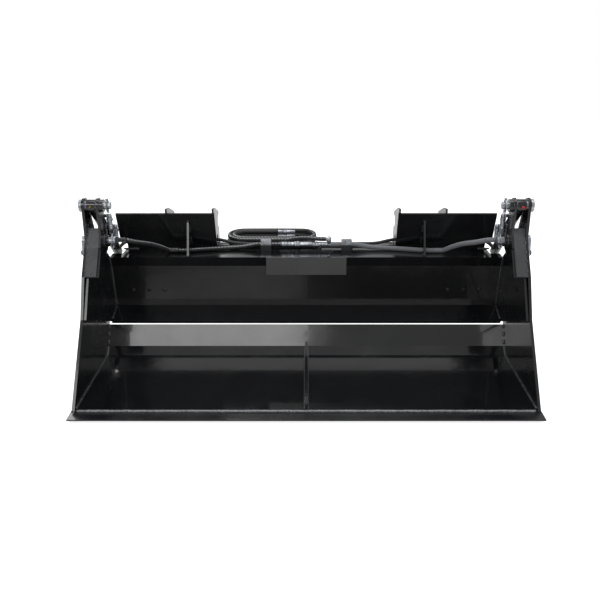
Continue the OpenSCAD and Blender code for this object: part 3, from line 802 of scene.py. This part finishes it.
@dataclass
class Studio:
    """The photograph's camera and a plain white studio."""

    distance: float = 2.453
    height: float = 1.270
    pitch: float = 21.94
    lens: float = 42.0
    shift: float = -0.0105
    floor_span: float = 14.0
    floor_glow: float = 0.82
    floor_shine: float = 0.03
    sky_level: float = 0.42
    floor_colour: str = "#e4e4e4"
    white: str = "#ffffff"

    def set_camera(self) -> None:
        """Places the camera where the photograph was taken from."""
        data = bpy.data.cameras.new("camera")
        data.sensor_width = 36.0
        data.lens = self.lens
        data.shift_x = self.shift
        data.clip_end = 60.0
        camera = bpy.data.objects.new("camera", data)
        camera.location = (0.0, -self.distance, self.height)
        camera.rotation_euler = (math.radians(90.0 - self.pitch), 0.0, 0.0)
        bpy.context.scene.collection.objects.link(camera)
        bpy.context.scene.camera = camera

    def set_floor(self) -> None:
        """Lays a white floor that keeps a soft shadow."""
        mesh = bmesh.new()
        bmesh.ops.create_grid(mesh, x_segments=2, y_segments=2, size=self.floor_span / 2)
        s = Shader("white_studio_floor")
        # It glows to the camera, so it melts into the background and still shows a soft shadow
        seen = add_node(s.tree, "LightPath").outputs
        shine = {1: self.floor_shine}
        source = {0: seen["Is Glossy Ray"]}
        glossy = add_node(s.tree, "Math", {"operation": "MULTIPLY"}, shine, source)
        source = {0: seen["Is Camera Ray"], 2: glossy.outputs[0]}
        glow = add_node(
            s.tree, "Math", {"operation": "MULTIPLY_ADD"}, {1: self.floor_glow}, source
        ).outputs[0]
        matt = add_node(s.tree, "BsdfDiffuse", inputs={"Color": linear(self.floor_colour)})
        white = {"Color": linear(self.white)}
        light = add_node(s.tree, "Emission", inputs=white, links={"Strength": glow})
        both = add_node(s.tree, "AddShader", links={0: matt.outputs[0], 1: light.outputs[0]})
        add_node(s.tree, "OutputMaterial", links={"Surface": both.outputs[0]})
        floor = new_piece("studio_floor", mesh, s.material, smooth=False)

    def set_lights(self) -> None:
        """Hangs soft boxes above and beside the bucket and sets a pale surround."""
        boxes = (
            ("top_box", (0.0, 0.2, 3.4), (0.0, 0.0, 0.2), (3.2, 2.2), 50.0),
            ("front_box", (-1.2, -3.4, 2.6), (0.0, 0.0, 0.2), (2.6, 1.2), 34.0),
            ("right_box", (3.2, -1.0, 1.8), (0.0, 0.0, 0.3), (1.2, 2.0), 26.0),
            ("rear_box", (-1.6, 3.2, 2.2), (0.0, 0.0, 0.3), (2.0, 1.4), 34.0),
        )
        for name, place, aim, size, power in boxes:
            data = bpy.data.lights.new(name, "AREA")
            data.shape = "RECTANGLE"
            data.size, data.size_y = size
            data.energy = power
            lamp = bpy.data.objects.new(name, data)
            lamp.location = place
            lamp.rotation_euler = (Vector(aim) - Vector(place)).to_track_quat("-Z", "Y").to_euler()
            bpy.context.scene.collection.objects.link(lamp)
        world = bpy.data.worlds.new("white_surround")
        world.use_nodes = True
        tree = world.node_tree
        tree.nodes.clear()
        seen = add_node(tree, "LightPath").outputs["Is Camera Ray"]
        levels = {"To Min": self.sky_level, "To Max": 1.0}
        level = add_node(tree, "MapRange", inputs=levels, links={"Value": seen}).outputs[0]
        white = {"Color": linear(self.white)}
        sky = add_node(tree, "Background", inputs=white, links={"Strength": level}).outputs[0]
        add_node(tree, "OutputWorld", links={"Surface": sky})
        bpy.context.scene.world = world


# Supply hoses: the free cords


@dataclass
class SupplyHoses:
    """The two supply hoses, wound in flat ovals on the flange, with a coupling at the inner end of
    each.
    """

    palette: Palette
    coil_x: float = -140.0
    coil_y: float = 824.6
    coil_r: float = 75.6
    coil_half: float = 113.0
    coil_pitch: float = 19.5
    corner: float = 4.0
    turns: float = 1.5
    layer: float = 18.6
    rings_per_turn: int = 64
    coupler_l: float = 74.0
    step: float = 0.006

    def coil_point(self, turn: float, z: float) -> tuple[float, float, float]:
        """A place on the oval, wound inwards from the middle of its front."""
        a = math.radians(-90.0 - 360.0 * turn)
        r = self.coil_r - self.coil_pitch * turn
        c = math.cos(a)
        reach = self.coil_half * math.copysign(min(1.0, abs(c) * self.corner), c)
        return (self.coil_x + r * c + reach, self.coil_y + r * math.sin(a), z)

    def route(self, lead: Sequence[tuple], z: float) -> list[Vector]:
        """The whole way of one hose: its lead and then its coil."""
        count = int(self.rings_per_turn * self.turns)
        coil = [self.coil_point(i / self.rings_per_turn, z) for i in range(count + 1)]
        tail = (coil[-1][0] + 2 * PLAN.supply_r, coil[-1][1], z)
        led = curve_through(PLAN.line(lead))
        return even_line(led + PLAN.line(coil[1:] + [tail]), self.step)

    def build(self) -> None:
        low_z = PLAN.flange_z + PLAN.supply_r
        high_z = low_z + self.layer
        start = self.coil_x + 2 * PLAN.supply_r
        y = self.coil_y - self.coil_r
        leads = {
            "low": ([(40, y, low_z), (0, y, low_z), (-50, y, low_z), (-90, y, low_z),
                     (start, y, low_z), (self.coil_x, y, low_z)], low_z),
            "high": ([(78, 705, 409), (68, 705, 409), (56, 705, 409), (14, 717, 409),
                      (-20, 731, 405), (-52, 743, 398), (-78, y, high_z), (-92, y, high_z),
                      (-106, y, high_z), (start, y, high_z), (self.coil_x, y, high_z)], high_z),
        }
        for name, (lead, z) in leads.items():
            path = self.route(lead, z)
            radius = PLAN.supply_r * MM
            hose = new_piece(
                f"supply_hose_{name}", tube_mesh(path, radius, 20), self.palette.lined_hose
            )
            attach(hose, "blade")
            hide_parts(f"supply_lead_{name}", f"supply_coil_{name}")
            coupler = self.coupling(f"supply_coupling_{name}", path[-1])
            log.info("supply hose %s: %.3f m", name, line_length(path))

    def coupling(self, name: str, place: Vector) -> bpy.types.Object:
        """One flat-faced coupling: its crimped tail, hexagon, knurled sleeve and nose.

        Args:
            name: The piece's name.
            place: The end of the hose.

        Returns:
            The coupling.
        """
        profile = [
            (0.0, 6.6), (1.0, 7.6), (6.0, 7.6), (7.0, 6.9), (9.0, 6.9), (10.0, 7.6), (15.0, 7.6),
            (16.0, 6.9), (18.0, 6.9), (19.0, 7.6), (24.0, 7.6), (25.0, 6.4), (38.0, 6.4),
            (38.5, 7.4), (41.0, 7.9), (44.0, 7.4), (47.0, 7.9), (50.0, 7.4), (53.0, 7.9),
            (56.0, 7.4), (59.0, 7.9), (61.0, 7.0), (64.0, 6.2), (self.coupler_l - 1, 6.2),
            (self.coupler_l, 5.4),
        ]
        body = lathe_mesh(profile, place, EAST, 40)
        nut = hex_mesh(place + EAST * 26 * MM, EAST, 11, 7.9)
        piece = new_piece(name, joined(body, nut), self.palette.zinc)
        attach(piece, "blade")
        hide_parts("supply_couplers")
        return piece


# Work hoses on the bucket


@dataclass
class WorkHoses:
    """The main and return hoses of the rams, on both sides.

    From a ram's port towards the flange the main hose is made in two stretches, and the return hose
    runs towards the pass in the hitch plate.
    """

    palette: Palette
    port_drop: float = 53.0
    port_a: tuple = (484.27, 566.23)
    port_b: tuple = (545.78, 507.55)
    clam_point: tuple = (680.0, 508.0, 464.0)
    fold_axis: tuple = (0.0, 0.882, -0.471)
    fold_keep: float = 0.4225
    sides: int = 20
    step: float = 0.006
    foot: tuple = (548.0, 664.0)
    held: float = 10.0
    sleeve_over: float = 1.03

    def mouth(self, port: tuple, reach: float) -> tuple[float, float, float]:
        """A place on the straight end of a hose below its ferrule."""
        return (PLAN.port_x, port[0], port[1] - self.port_drop - reach)

    def main_end(self) -> tuple[list[tuple], list[tuple]]:
        """The main hose's two stretches: from the ferrule, and on to the flange."""
        z = PLAN.flange_z + PLAN.main_r + 0.5
        upper = [self.mouth(self.port_a, d) for d in (-6, 0, 8, 16)]
        upper += [(722, 487, 482), (705, 496, 470), self.clam_point]
        lower = [self.clam_point, (645, 540, 446), (609, 590, 424), (577, 630, 399),
                 (560, 653, 382), (*self.foot, z), (530, 664, z), (512, 664, z)]
        return upper, lower

    def main_run(self) -> list[tuple]:
        """The main hose on the flange, up to the clamp and the tee."""
        z = PLAN.flange_z + PLAN.main_r + 0.5
        return [(512, 664, z), (500, 664, z), (488, 664.5, z), (471, 667, z), (420, 679, z),
                (340, 694, z), (270, 702, z + 2), (225, 705, z + 8), (200, 705, PLAN.main_z),
                (186, 705, PLAN.main_z), (143, 705, PLAN.main_z), (104, 705, PLAN.main_z),
                (98, 705, PLAN.main_z)]

    def return_end(self) -> tuple[list[tuple], list[tuple]]:
        """The return hose's stretch from the port, and the stretch behind the hitch plate."""
        fold = [self.mouth(self.port_b, d) for d in (-6, 0, 8, 16)]
        fold += [(729, 556, 423), (734, 590, 408), (740, 640, 399), (742, 690, 394),
                 (740.6, 712, 391.6)]
        rest = [fold[-1], (738, 728, 390), (715, 748, 391), (680, 755, 394), (640, 755, 396),
                (620, 755, 396), (600, 755, 396)]
        return fold, rest

    def return_run(self) -> list[tuple]:
        """The return hose through the bracket ribs and on to the rear tee."""
        return [(600, 755, 396), (580, 755, 396), (540, 755, 396), (470, 755, 396), (410, 753, 396),
                (360, 746, 394), (325, 737, 390), (290, 732, 384), (230, 730, PLAN.back_z),
                (200, 730, PLAN.back_z), (150, 730, PLAN.back_z), (130, 730, PLAN.back_z),
                (110, 730, PLAN.back_z), (104, 730, PLAN.back_z)]

    def stretch(
        self, name: str, points: list[Vector], radius: float, material: Material,
        start: float = 0.0,
    ) -> bpy.types.Object:
        """One stretch of hose through points already smoothed.

        Args:
            name: The piece's name.
            points: The smooth line.
            radius: The hose's radius in metres.
            material: Its cover.
            start: Where the printed line goes on from.

        Returns:
            The hose's piece.
        """
        line = even_line(points, self.step)
        piece = new_piece(name, tube_mesh(line, radius, self.sides, start=start), material)
        log.info("%s: %.3f m", name, line_length(points))
        return piece

    def split(self, points: Sequence[tuple], sign: int, at: int) -> tuple[list, list]:
        """Smooths a whole run and cuts it at one of its points.

        Args:
            points: The run's points.
            sign: The side's sign.
            at: The index of the point to cut at.

        Returns:
            The smooth line before the cut and the one after it.
        """
        line = curve_through(PLAN.line(points, sign))
        return line[: at * STEPS + 1], line[at * STEPS :]

    def build(self) -> None:
        """Makes every stretch: the main hoses' stretches from the ports stay where they are made,
        and the rest are tied to the blade.
        """
        for side in Side:
            sign = side.value
            word = side.word
            cover = self.palette.lined_hose if side is Side.LEFT else self.palette.sleeve
            r = PLAN.main_r * MM * (1.0 if side is Side.LEFT else self.sleeve_over)
            upper, lower = self.main_end()
            above, below = self.split(upper + lower[1:], sign, len(upper) - 1)
            fold, rest = self.return_end()
            top = self.stretch(f"main_hose_{word}_top", above, r, cover)
            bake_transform(top)
            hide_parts(f"hose_main_{word}_end")
            drape = self.stretch(f"main_hose_{word}_drape", below, r, cover, line_length(above))
            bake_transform(drape)
            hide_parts(f"hose_main_{word}_end")
            run = curve_through(PLAN.line(self.main_run(), sign))
            reach = line_length(above) + line_length(below)
            flat = self.stretch(f"main_hose_{word}_run", run, r, cover, reach)
            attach(flat, "blade")
            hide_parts(f"hose_main_{word}")
            front, back = self.split(fold + rest[1:], sign, len(fold) - 1)
            thin = PLAN.thin_r * MM
            folding = self.stretch(f"return_hose_{word}_fold", front, thin, self.palette.hose)
            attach(folding, "blade")
            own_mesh(folding)
            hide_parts(f"hose_return_{word}_end")
            behind = self.stretch(f"return_hose_{word}_pass", back, thin, self.palette.hose)
            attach(behind, "blade")
            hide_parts(f"hose_return_{word}_end")
            run = curve_through(PLAN.line(self.return_run(), sign))
            flat = self.stretch(f"return_hose_{word}_run", run, thin, self.palette.hose)
            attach(flat, "blade")
            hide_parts(f"hose_return_{word}")


# Fittings


@dataclass
class Fittings:
    """Ports, elbows, nuts and crimped ferrules on the rams and at the middle of the flange."""

    palette: Palette
    ferrule_r: float = 9.5
    ferrule_l: float = 34.0
    ferrule_bands: int = 4
    nut_r: float = 12.0
    nut_l: float = 10.0
    elbow_r: float = 9.0
    port_r: float = 8.0
    ram_x: float = 769.5
    barrel_r: float = 19.0
    eye: tuple = (430.0, 618.0)
    nipple_out: float = 22.6
    cap_out: float = 23.0
    crimp_at: float = 48.0
    lead_r: float = 9.2

    def ferrule(
        self, base: Vector, along: Vector, length: float, radius: float
    ) -> BMesh:
        """A crimped ferrule with shallow die marks.

        Args:
            base: The middle of its first face.
            along: Its axis, away from the nut.
            length: Its length in millimetres.
            radius: Its outside radius in millimetres.

        Returns:
            The ferrule.
        """
        profile = [(0.0, radius * 0.86), (1.0, radius * 0.93)]
        span = (length - 4.0) / self.ferrule_bands
        for i in range(self.ferrule_bands):
            a = 2.0 + i * span
            profile += [(a, radius), (a + span * 0.7, radius), (a + span * 0.78, radius * 0.92),
                        (a + span * 0.95, radius * 0.92)]
        profile += [(length - 1.2, radius), (length, radius * 0.9)]

        def crimped(r: float, a: float) -> float:
            """Eight flats pressed by the crimping jaws."""
            return r * (1.0 - 0.03 * max(0.0, math.cos(8 * a)))

        return lathe_mesh(profile, base, along, 48, crimped)

    def port(self, sign: int, place: tuple) -> BMesh:
        """One port of a ram: boss, elbow, nut and ferrule.

        Args:
            sign: The side's sign.
            place: The port's Y and Z in the plan.

        Returns:
            The port's mesh.
        """
        middle = PLAN.at(sign * PLAN.port_x, *place)
        reach = self.ram_x - self.barrel_r * 0.9 - PLAN.port_x
        wide, slim = self.port_r, self.port_r * 0.9
        boss = [(0.0, wide), (reach * 0.4, wide), (reach * 0.45, slim), (reach, slim)]
        r = self.elbow_r
        elbow = [(-r, r * 0.55), (-r * 0.8, r * 0.8), (-r * 0.45, r * 0.97), (0.0, r), (r, r)]
        nut = middle - UP * r * MM
        base = nut - UP * self.nut_l * MM
        return joined(
            lathe_mesh(boss, middle, EAST * sign),
            lathe_mesh(elbow, middle, -UP),
            hex_mesh(nut, -UP, self.nut_l, self.nut_r),
            self.ferrule(base, -UP, self.ferrule_l, self.ferrule_r),
        )

    def nipple(self, sign: int) -> BMesh:
        """A grease nipple on the upper eye of a ram: its round collar, stem and ball head."""
        base = PLAN.at(sign * self.ram_x, self.eye[0] - self.nipple_out, self.eye[1])
        profile = [(0.0, 3.9), (2.6, 3.9), (2.8, 3.0), (5.0, 2.4), (7.4, 2.4), (8.2, 3.2),
                   (10.0, 3.3), (11.4, 2.2), (12.2, 0.9)]
        return lathe_mesh(profile, base, -REAR, 24)

    def build(self, ports: Sequence[tuple]) -> None:
        """Makes the fittings of both rams and of the middle.

        Args:
            ports: The Y and Z of each ram's ports.
        """
        for side in Side:
            parts = [self.port(side.value, p) for p in ports]
            piece = new_piece(f"ram_ports_{side.word}", joined(*parts), self.palette.zinc)
            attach(piece, f"barrel_{side.word}")
            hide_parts(f"barrel_fittings_{side.word}")
            stem = new_piece(
                f"grease_nipple_{side.word}", self.nipple(side.value), self.palette.passivated
            )
            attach(stem, f"barrel_{side.word}")
            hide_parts(f"barrel_fittings_{side.word}")
        self.build_cap()
        self.build_middle()

    def build_cap(self) -> None:
        """The red dust cap on the right-hand grease nipple."""
        base = PLAN.at(self.ram_x, self.eye[0] - self.cap_out, self.eye[1])
        profile = [(0.0, 4.2), (0.6, 4.8), (7.8, 4.8), (8.0, 5.3), (9.0, 5.3), (10.6, 4.6),
                   (11.9, 2.2), (12.0, 0.8)]
        mesh = lathe_mesh(profile, base, -REAR)
        cap = new_piece("red_nipple_cap", mesh, self.palette.red_cap)
        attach(cap, "barrel_right")

    def build_middle(self) -> None:
        """The two tees with their nuts, ferrules and the elbows to the supply hoses."""
        low_z = PLAN.flange_z + PLAN.supply_r
        front = PLAN.at(0, PLAN.clamp_y, PLAN.main_z)
        back = PLAN.at(0, PLAN.back_y, PLAN.back_z)
        # A tee's middle and radius, its ferrules' size, and each nut's place, length and corner
        tees = (
            (front, 9.5, (56.0, self.ferrule_r), ((26, 11, 12.0), (38, 10, 11.8))),
            (back, 8.8, (62.0, 8.2), ((26, 10, 9.7), (37, 11, 9.5))),
        )
        parts = []
        for run in (-EAST, EAST):
            for middle, _, crimp, nuts in tees:
                for place, length, corner in nuts:
                    parts.append(hex_mesh(middle + run * place * MM, run, length, corner))
                parts.append(self.ferrule(middle + run * self.crimp_at * MM, run, *crimp))
        for middle, r, _, _ in tees:
            body = [(-26, r * 0.9), (-24, r), (-10, r), (-9, r), (9, r), (10, r), (24, r),
                    (26, r * 0.9)]
            parts.append(lathe_mesh(body, middle, EAST))
        # An elbow's foot, the way and reach of its stem, and where its mouth starts
        r = self.lead_r
        elbows = (
            (PLAN.at(PLAN.low_exit_x, PLAN.back_y, low_z), REAR, 19.0 + r,
             PLAN.at(PLAN.low_exit_x, PLAN.coil_front_y, low_z)),
            (PLAN.at(PLAN.high_exit_x, PLAN.clamp_y, PLAN.main_z), UP,
             PLAN.lead_z + 9.5 - PLAN.main_z, PLAN.at(PLAN.high_exit_x, PLAN.clamp_y, PLAN.lead_z)),
        )
        for foot, way, reach, mouth in elbows:
            parts.append(lathe_mesh([(0.0, r), (reach - 3.0, r), (reach, r * 0.7)], foot, way))
            parts.append(lathe_mesh([(0.0, r * 0.95), (14.0, r * 0.95)], mouth, -EAST))
        piece = new_piece("tee_fittings", joined(*parts), self.palette.zinc)
        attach(piece, "blade")
        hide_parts("centre_fittings")
        log.info("fittings: %d faces", len(piece.data.polygons))


# Bolts and weld beads


@dataclass
class FaceBolts:
    """The button-head bolts through the moldboard, with their washers and nuts behind it."""

    palette: Palette
    first_x: float = 575.0
    pitch: float = 63.0
    per_side: int = 3
    y: float = 627.8
    z: float = 218.36
    plate_t: float = 8.0
    washer_t: float = 1.6
    nut_t: float = 5.2
    nut_r: float = 8.8
    end_at: float = 6.6
    socket_flat: float = 2.6
    socket_r: float = 3.1

    def head(self, base: Vector, out: Vector) -> BMesh:
        """A button head with a six-sided socket.

        Args:
            base: The middle of the head's foot on the plate.
            out: The way out of the plate.

        Returns:
            The head.
        """
        profile = [(0.0, 8.0), (0.7, 8.0), (2.2, 7.2), (3.3, 5.8), (3.9, 4.2), (4.0, 3.4),
                   (3.8, 3.0), (1.6, 2.9), (1.5, 0.4)]

        def socket(r: float, a: float) -> float:
            """Six flats inside the socket and a round dome outside it."""
            return hexagon(self.socket_flat)(r, a) if r < self.socket_r else r

        return lathe_mesh(profile, base, out, 48, socket)

    def build(self) -> None:
        """Makes all six bolts as one piece."""
        rise = [bend - foot for foot, bend in zip(PLAN.face_foot, PLAN.face_bend)]
        out = Vector((0.0, *rise)).normalized().cross(-EAST)
        washer = [(0.0, 9.8), (self.washer_t - 0.2, 9.8), (self.washer_t, 9.4)]
        end = [(0.0, 5.8), (1.6, 5.8), (2.4, 5.0)]
        parts = []
        for side in Side:
            for i in range(self.per_side):
                base = PLAN.at(side.value * (self.first_x + i * self.pitch), self.y, self.z)
                rear = base - out * self.plate_t * MM
                nut = rear - out * self.washer_t * MM
                parts.append(self.head(base, out))
                parts.append(lathe_mesh(washer, rear, -out))
                parts.append(hex_mesh(nut, -out, self.nut_t, self.nut_r))
                parts.append(lathe_mesh(end, rear - out * self.end_at * MM, -out))
        piece = new_piece("moldboard_button_bolts", joined(*parts), self.palette.oxide)
        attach(piece, "blade")
        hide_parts("moldboard_bolts")


@dataclass
class WeldBeads:
    """The weld beads that join the plates: long ones at the wear bars and stitches elsewhere."""

    palette: Palette
    rise: float = 0.14
    wander: float = 0.7
    rings: int = 5
    sides: int = 10
    side_x: float = 788.4
    lever_x: float = 788.6
    face_x: float = 777.4
    half: float = 786.0

    def bead(
        self, points: Sequence[tuple], radius: float, sign: int = 1, pitch: float = 5.0
    ) -> BMesh:
        """One bead with a crest for every step of the torch and rounded ends.

        Args:
            points: The places that it passes, in millimetres.
            radius: Its radius in millimetres.
            sign: The side's sign.
            pitch: The distance between crests in millimetres.

        Returns:
            The bead.
        """
        line = even_line(PLAN.line(points, sign), pitch * MM / self.rings)
        total = line_length(line)
        phase = random.random() * TURN

        def rippled(reach: float, share: float, a: float) -> float:
            """The radius at a distance along the bead."""
            place = reach / MM + self.wander * math.sin(reach / MM / 11.0 + phase)
            crest = 1.0 + self.rise * abs(math.sin(math.pi * place / pitch))
            swell = 1.0 + 0.05 * math.sin(reach / MM / 17.0 + 2.0 * phase)
            tip = min(reach, total - reach) / MM
            return radius * MM * crest * swell * min(1.0, 0.45 + 0.55 * tip / radius)

        return tube_mesh(line, rippled, self.sides)

    def stitches(
        self, x: float, origin: tuple, way: tuple, spans: Sequence[tuple], radius: float, sign: int
    ) -> list[BMesh]:
        """Short beads along a straight edge of a plate.

        Args:
            x: The edge's X.
            origin: The Y and Z that the distances are measured from.
            way: The edge's direction in Y and Z.
            spans: The distances at which each bead starts and ends.
            radius: The beads' radius in millimetres.
            sign: The side's sign.

        Returns:
            The beads.
        """
        beads = []
        for span in spans:
            ends = [(x, origin[0] + way[0] * d, origin[1] + way[1] * d) for d in span]
            beads.append(self.bead(ends, radius, sign))
        return beads

    def clam_beads(self) -> list[BMesh]:
        """The beads of the bowl, its cutting edge, its wear strip and its lever plates."""
        beads = []
        for y in (358.7, 471.3):
            beads.append(self.bead([(-self.half, y, -9.4), (self.half, y, -9.4)], 2.8, pitch=6.5))
        heel = ((497.7, 27.7), (0.474, 0.88), ((6, 26), (38, 58), (70, 86)))
        arm = ((312.0, 387.8), (0.604, 0.797), ((16, 27), (54, 65), (88, 99)))
        tip = ((377.9, 474.7), (0.536, 0.844), ((14, 25), (46, 57)))
        x = self.side_x
        for side in Side:
            s = side.value
            beads.append(self.bead([(x, 58, 1.4), (x, 468, 1.4), (x, 496, 27.5)], 3.8, s))
            beads += self.stitches(x, *heel, 3.8, s)
            beads.append(self.bead([(801.4, 48, -6.6), (801.4, 148, -6.6)], 3.0, s))
            beads.append(self.bead([(6.2, 58, 1.0), (6.2, 469, 1.0), (6.2, 494, 24)], 3.0, s))
            beads += self.stitches(self.lever_x, *arm, 2.6, s)
            beads += self.stitches(self.lever_x, *tip, 2.6, s)
            for y, z, r in ((450.0, 480.0, 22.0), (430.0, 618.0, 24.0)):
                beads.append(ring_mesh(PLAN.at(s * 740.2, y, z), EAST, r, 2.0))
        return beads

    def blade_beads(self) -> list[BMesh]:
        """The beads of the moldboard, its channel, its bracket and its hitch plates."""
        beads = [self.bead([(-741, 633.6, 255.4), (741, 633.6, 255.4)], 3.0, pitch=6.0)]
        feet = {
            Side.LEFT: ((366, 412), (518, 600), (684, 748)),
            Side.RIGHT: ((366, 430), (512, 557), (702, 750)),
        }
        flat = ((0.0, 365.2), (1.0, 0.0), ((630, 646), (692, 708)))
        lean = ((715.2, 364.0), (-0.309, 0.951), ((26, 56), (84, 112)))
        x = self.face_x
        for side in Side:
            s = side.value
            beads.append(self.bead([(x, 556, 122.2), (x, 632, 148.4)], 3.0, s))
            beads.append(self.bead([(x, 633.4, 151), (x, 615.6, 323.8), (x, 603.8, 362)], 3.0, s))
            for low, high in feet[side]:
                beads.append(self.bead([(low, 714.9, 365.5), (high, 714.9, 365.5)], 3.4, s))
            for rib_x in (365.8, 376.2, 550.8, 561.2):
                beads.append(self.bead([(rib_x, 704.3, 158), (rib_x, 704.3, 250)], 2.8, s))
            for gusset_x in (465.8, 476.2):
                beads += self.stitches(gusset_x, *flat, 2.4, s)
                beads += self.stitches(gusset_x, *lean, 2.4, s)
            beads.append(ring_mesh(PLAN.at(s * 365.4, 808.0, 339.96), EAST, 25.0, 2.4))
        return beads

    def build(self) -> None:
        """Makes one piece of beads for each of the two big bodies."""
        for body, beads in (("clam", self.clam_beads()), ("blade", self.blade_beads())):
            piece = new_piece(f"{body}_weld_beads", joined(*beads), self.palette.bead)
            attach(piece, body)
            log.info("%s weld beads: %d faces", body, len(piece.data.polygons))
        lip = self.bead([(-self.half, 51.2, -5.2), (self.half, 51.2, -5.2)], 4.8, pitch=7.5)
        piece = new_piece("lip_weld_bead", lip, self.palette.lip_bead)
        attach(piece, "clam")


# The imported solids' own finishes


@dataclass
class Dressing:
    """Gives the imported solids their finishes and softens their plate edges."""

    palette: Palette
    nodes: dict
    mirrored: tuple = ("moldboard", "moldboard_blade", "bowl_sheet")
    edge_mm: float = 0.9

    def build(self) -> None:
        """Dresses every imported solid."""
        p = self.palette
        finishes = {
            "black_paint": p.enamel,
            "edge_paint": p.edge_enamel,
            "cover_paint": p.cover_enamel,
            "zinc": p.zinc,
            "bush_steel": p.turned,
            "barrel_paint": p.mirror_enamel,
            "rod_chrome": p.chrome,
            "dark_bolt": p.oxide,
            "clamp_plastic": p.clamp,
            "hose_rubber": p.hose,
        }
        for name, node in self.nodes.items():
            own = node.data.materials[0].name.split(".")[0]
            finish = finishes[own]
            if name in self.mirrored:
                finish = p.mirror_enamel
            if name == "clamp_tops":
                finish = p.clamp_plate
            node.data.materials.clear()
            node.data.materials.append(finish)
            if own in ("black_paint", "edge_paint", "cover_paint") or name == "clamp_tops":
                soften = node.modifiers.new("softened_edges", "BEVEL")
                soften.width = self.edge_mm * MM
                soften.segments = 2
                soften.limit_method = "ANGLE"
                soften.angle_limit = math.radians(40.0)
                soften.harden_normals = True


def main() -> None:
    """Builds the whole picture in order: studio, cords, hoses, fittings, welds and finishes."""
    logging.basicConfig(level=logging.INFO, format="%(message)s")
    random.seed(4)
    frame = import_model()
    bpy.context.scene.view_settings.view_transform = "Standard"
    palette = Palette()
    studio = Studio()
    studio.set_camera()
    SupplyHoses(palette).build()
    hoses = WorkHoses(palette)
    hoses.build()
    Fittings(palette).build((hoses.port_a, hoses.port_b))
    FaceBolts(palette).build()
    WeldBeads(palette).build()
    Dressing(palette, frame["nodes"]).build()
    studio.set_floor()
    studio.set_lights()
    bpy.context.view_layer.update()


if __name__ == "__main__":
    main()
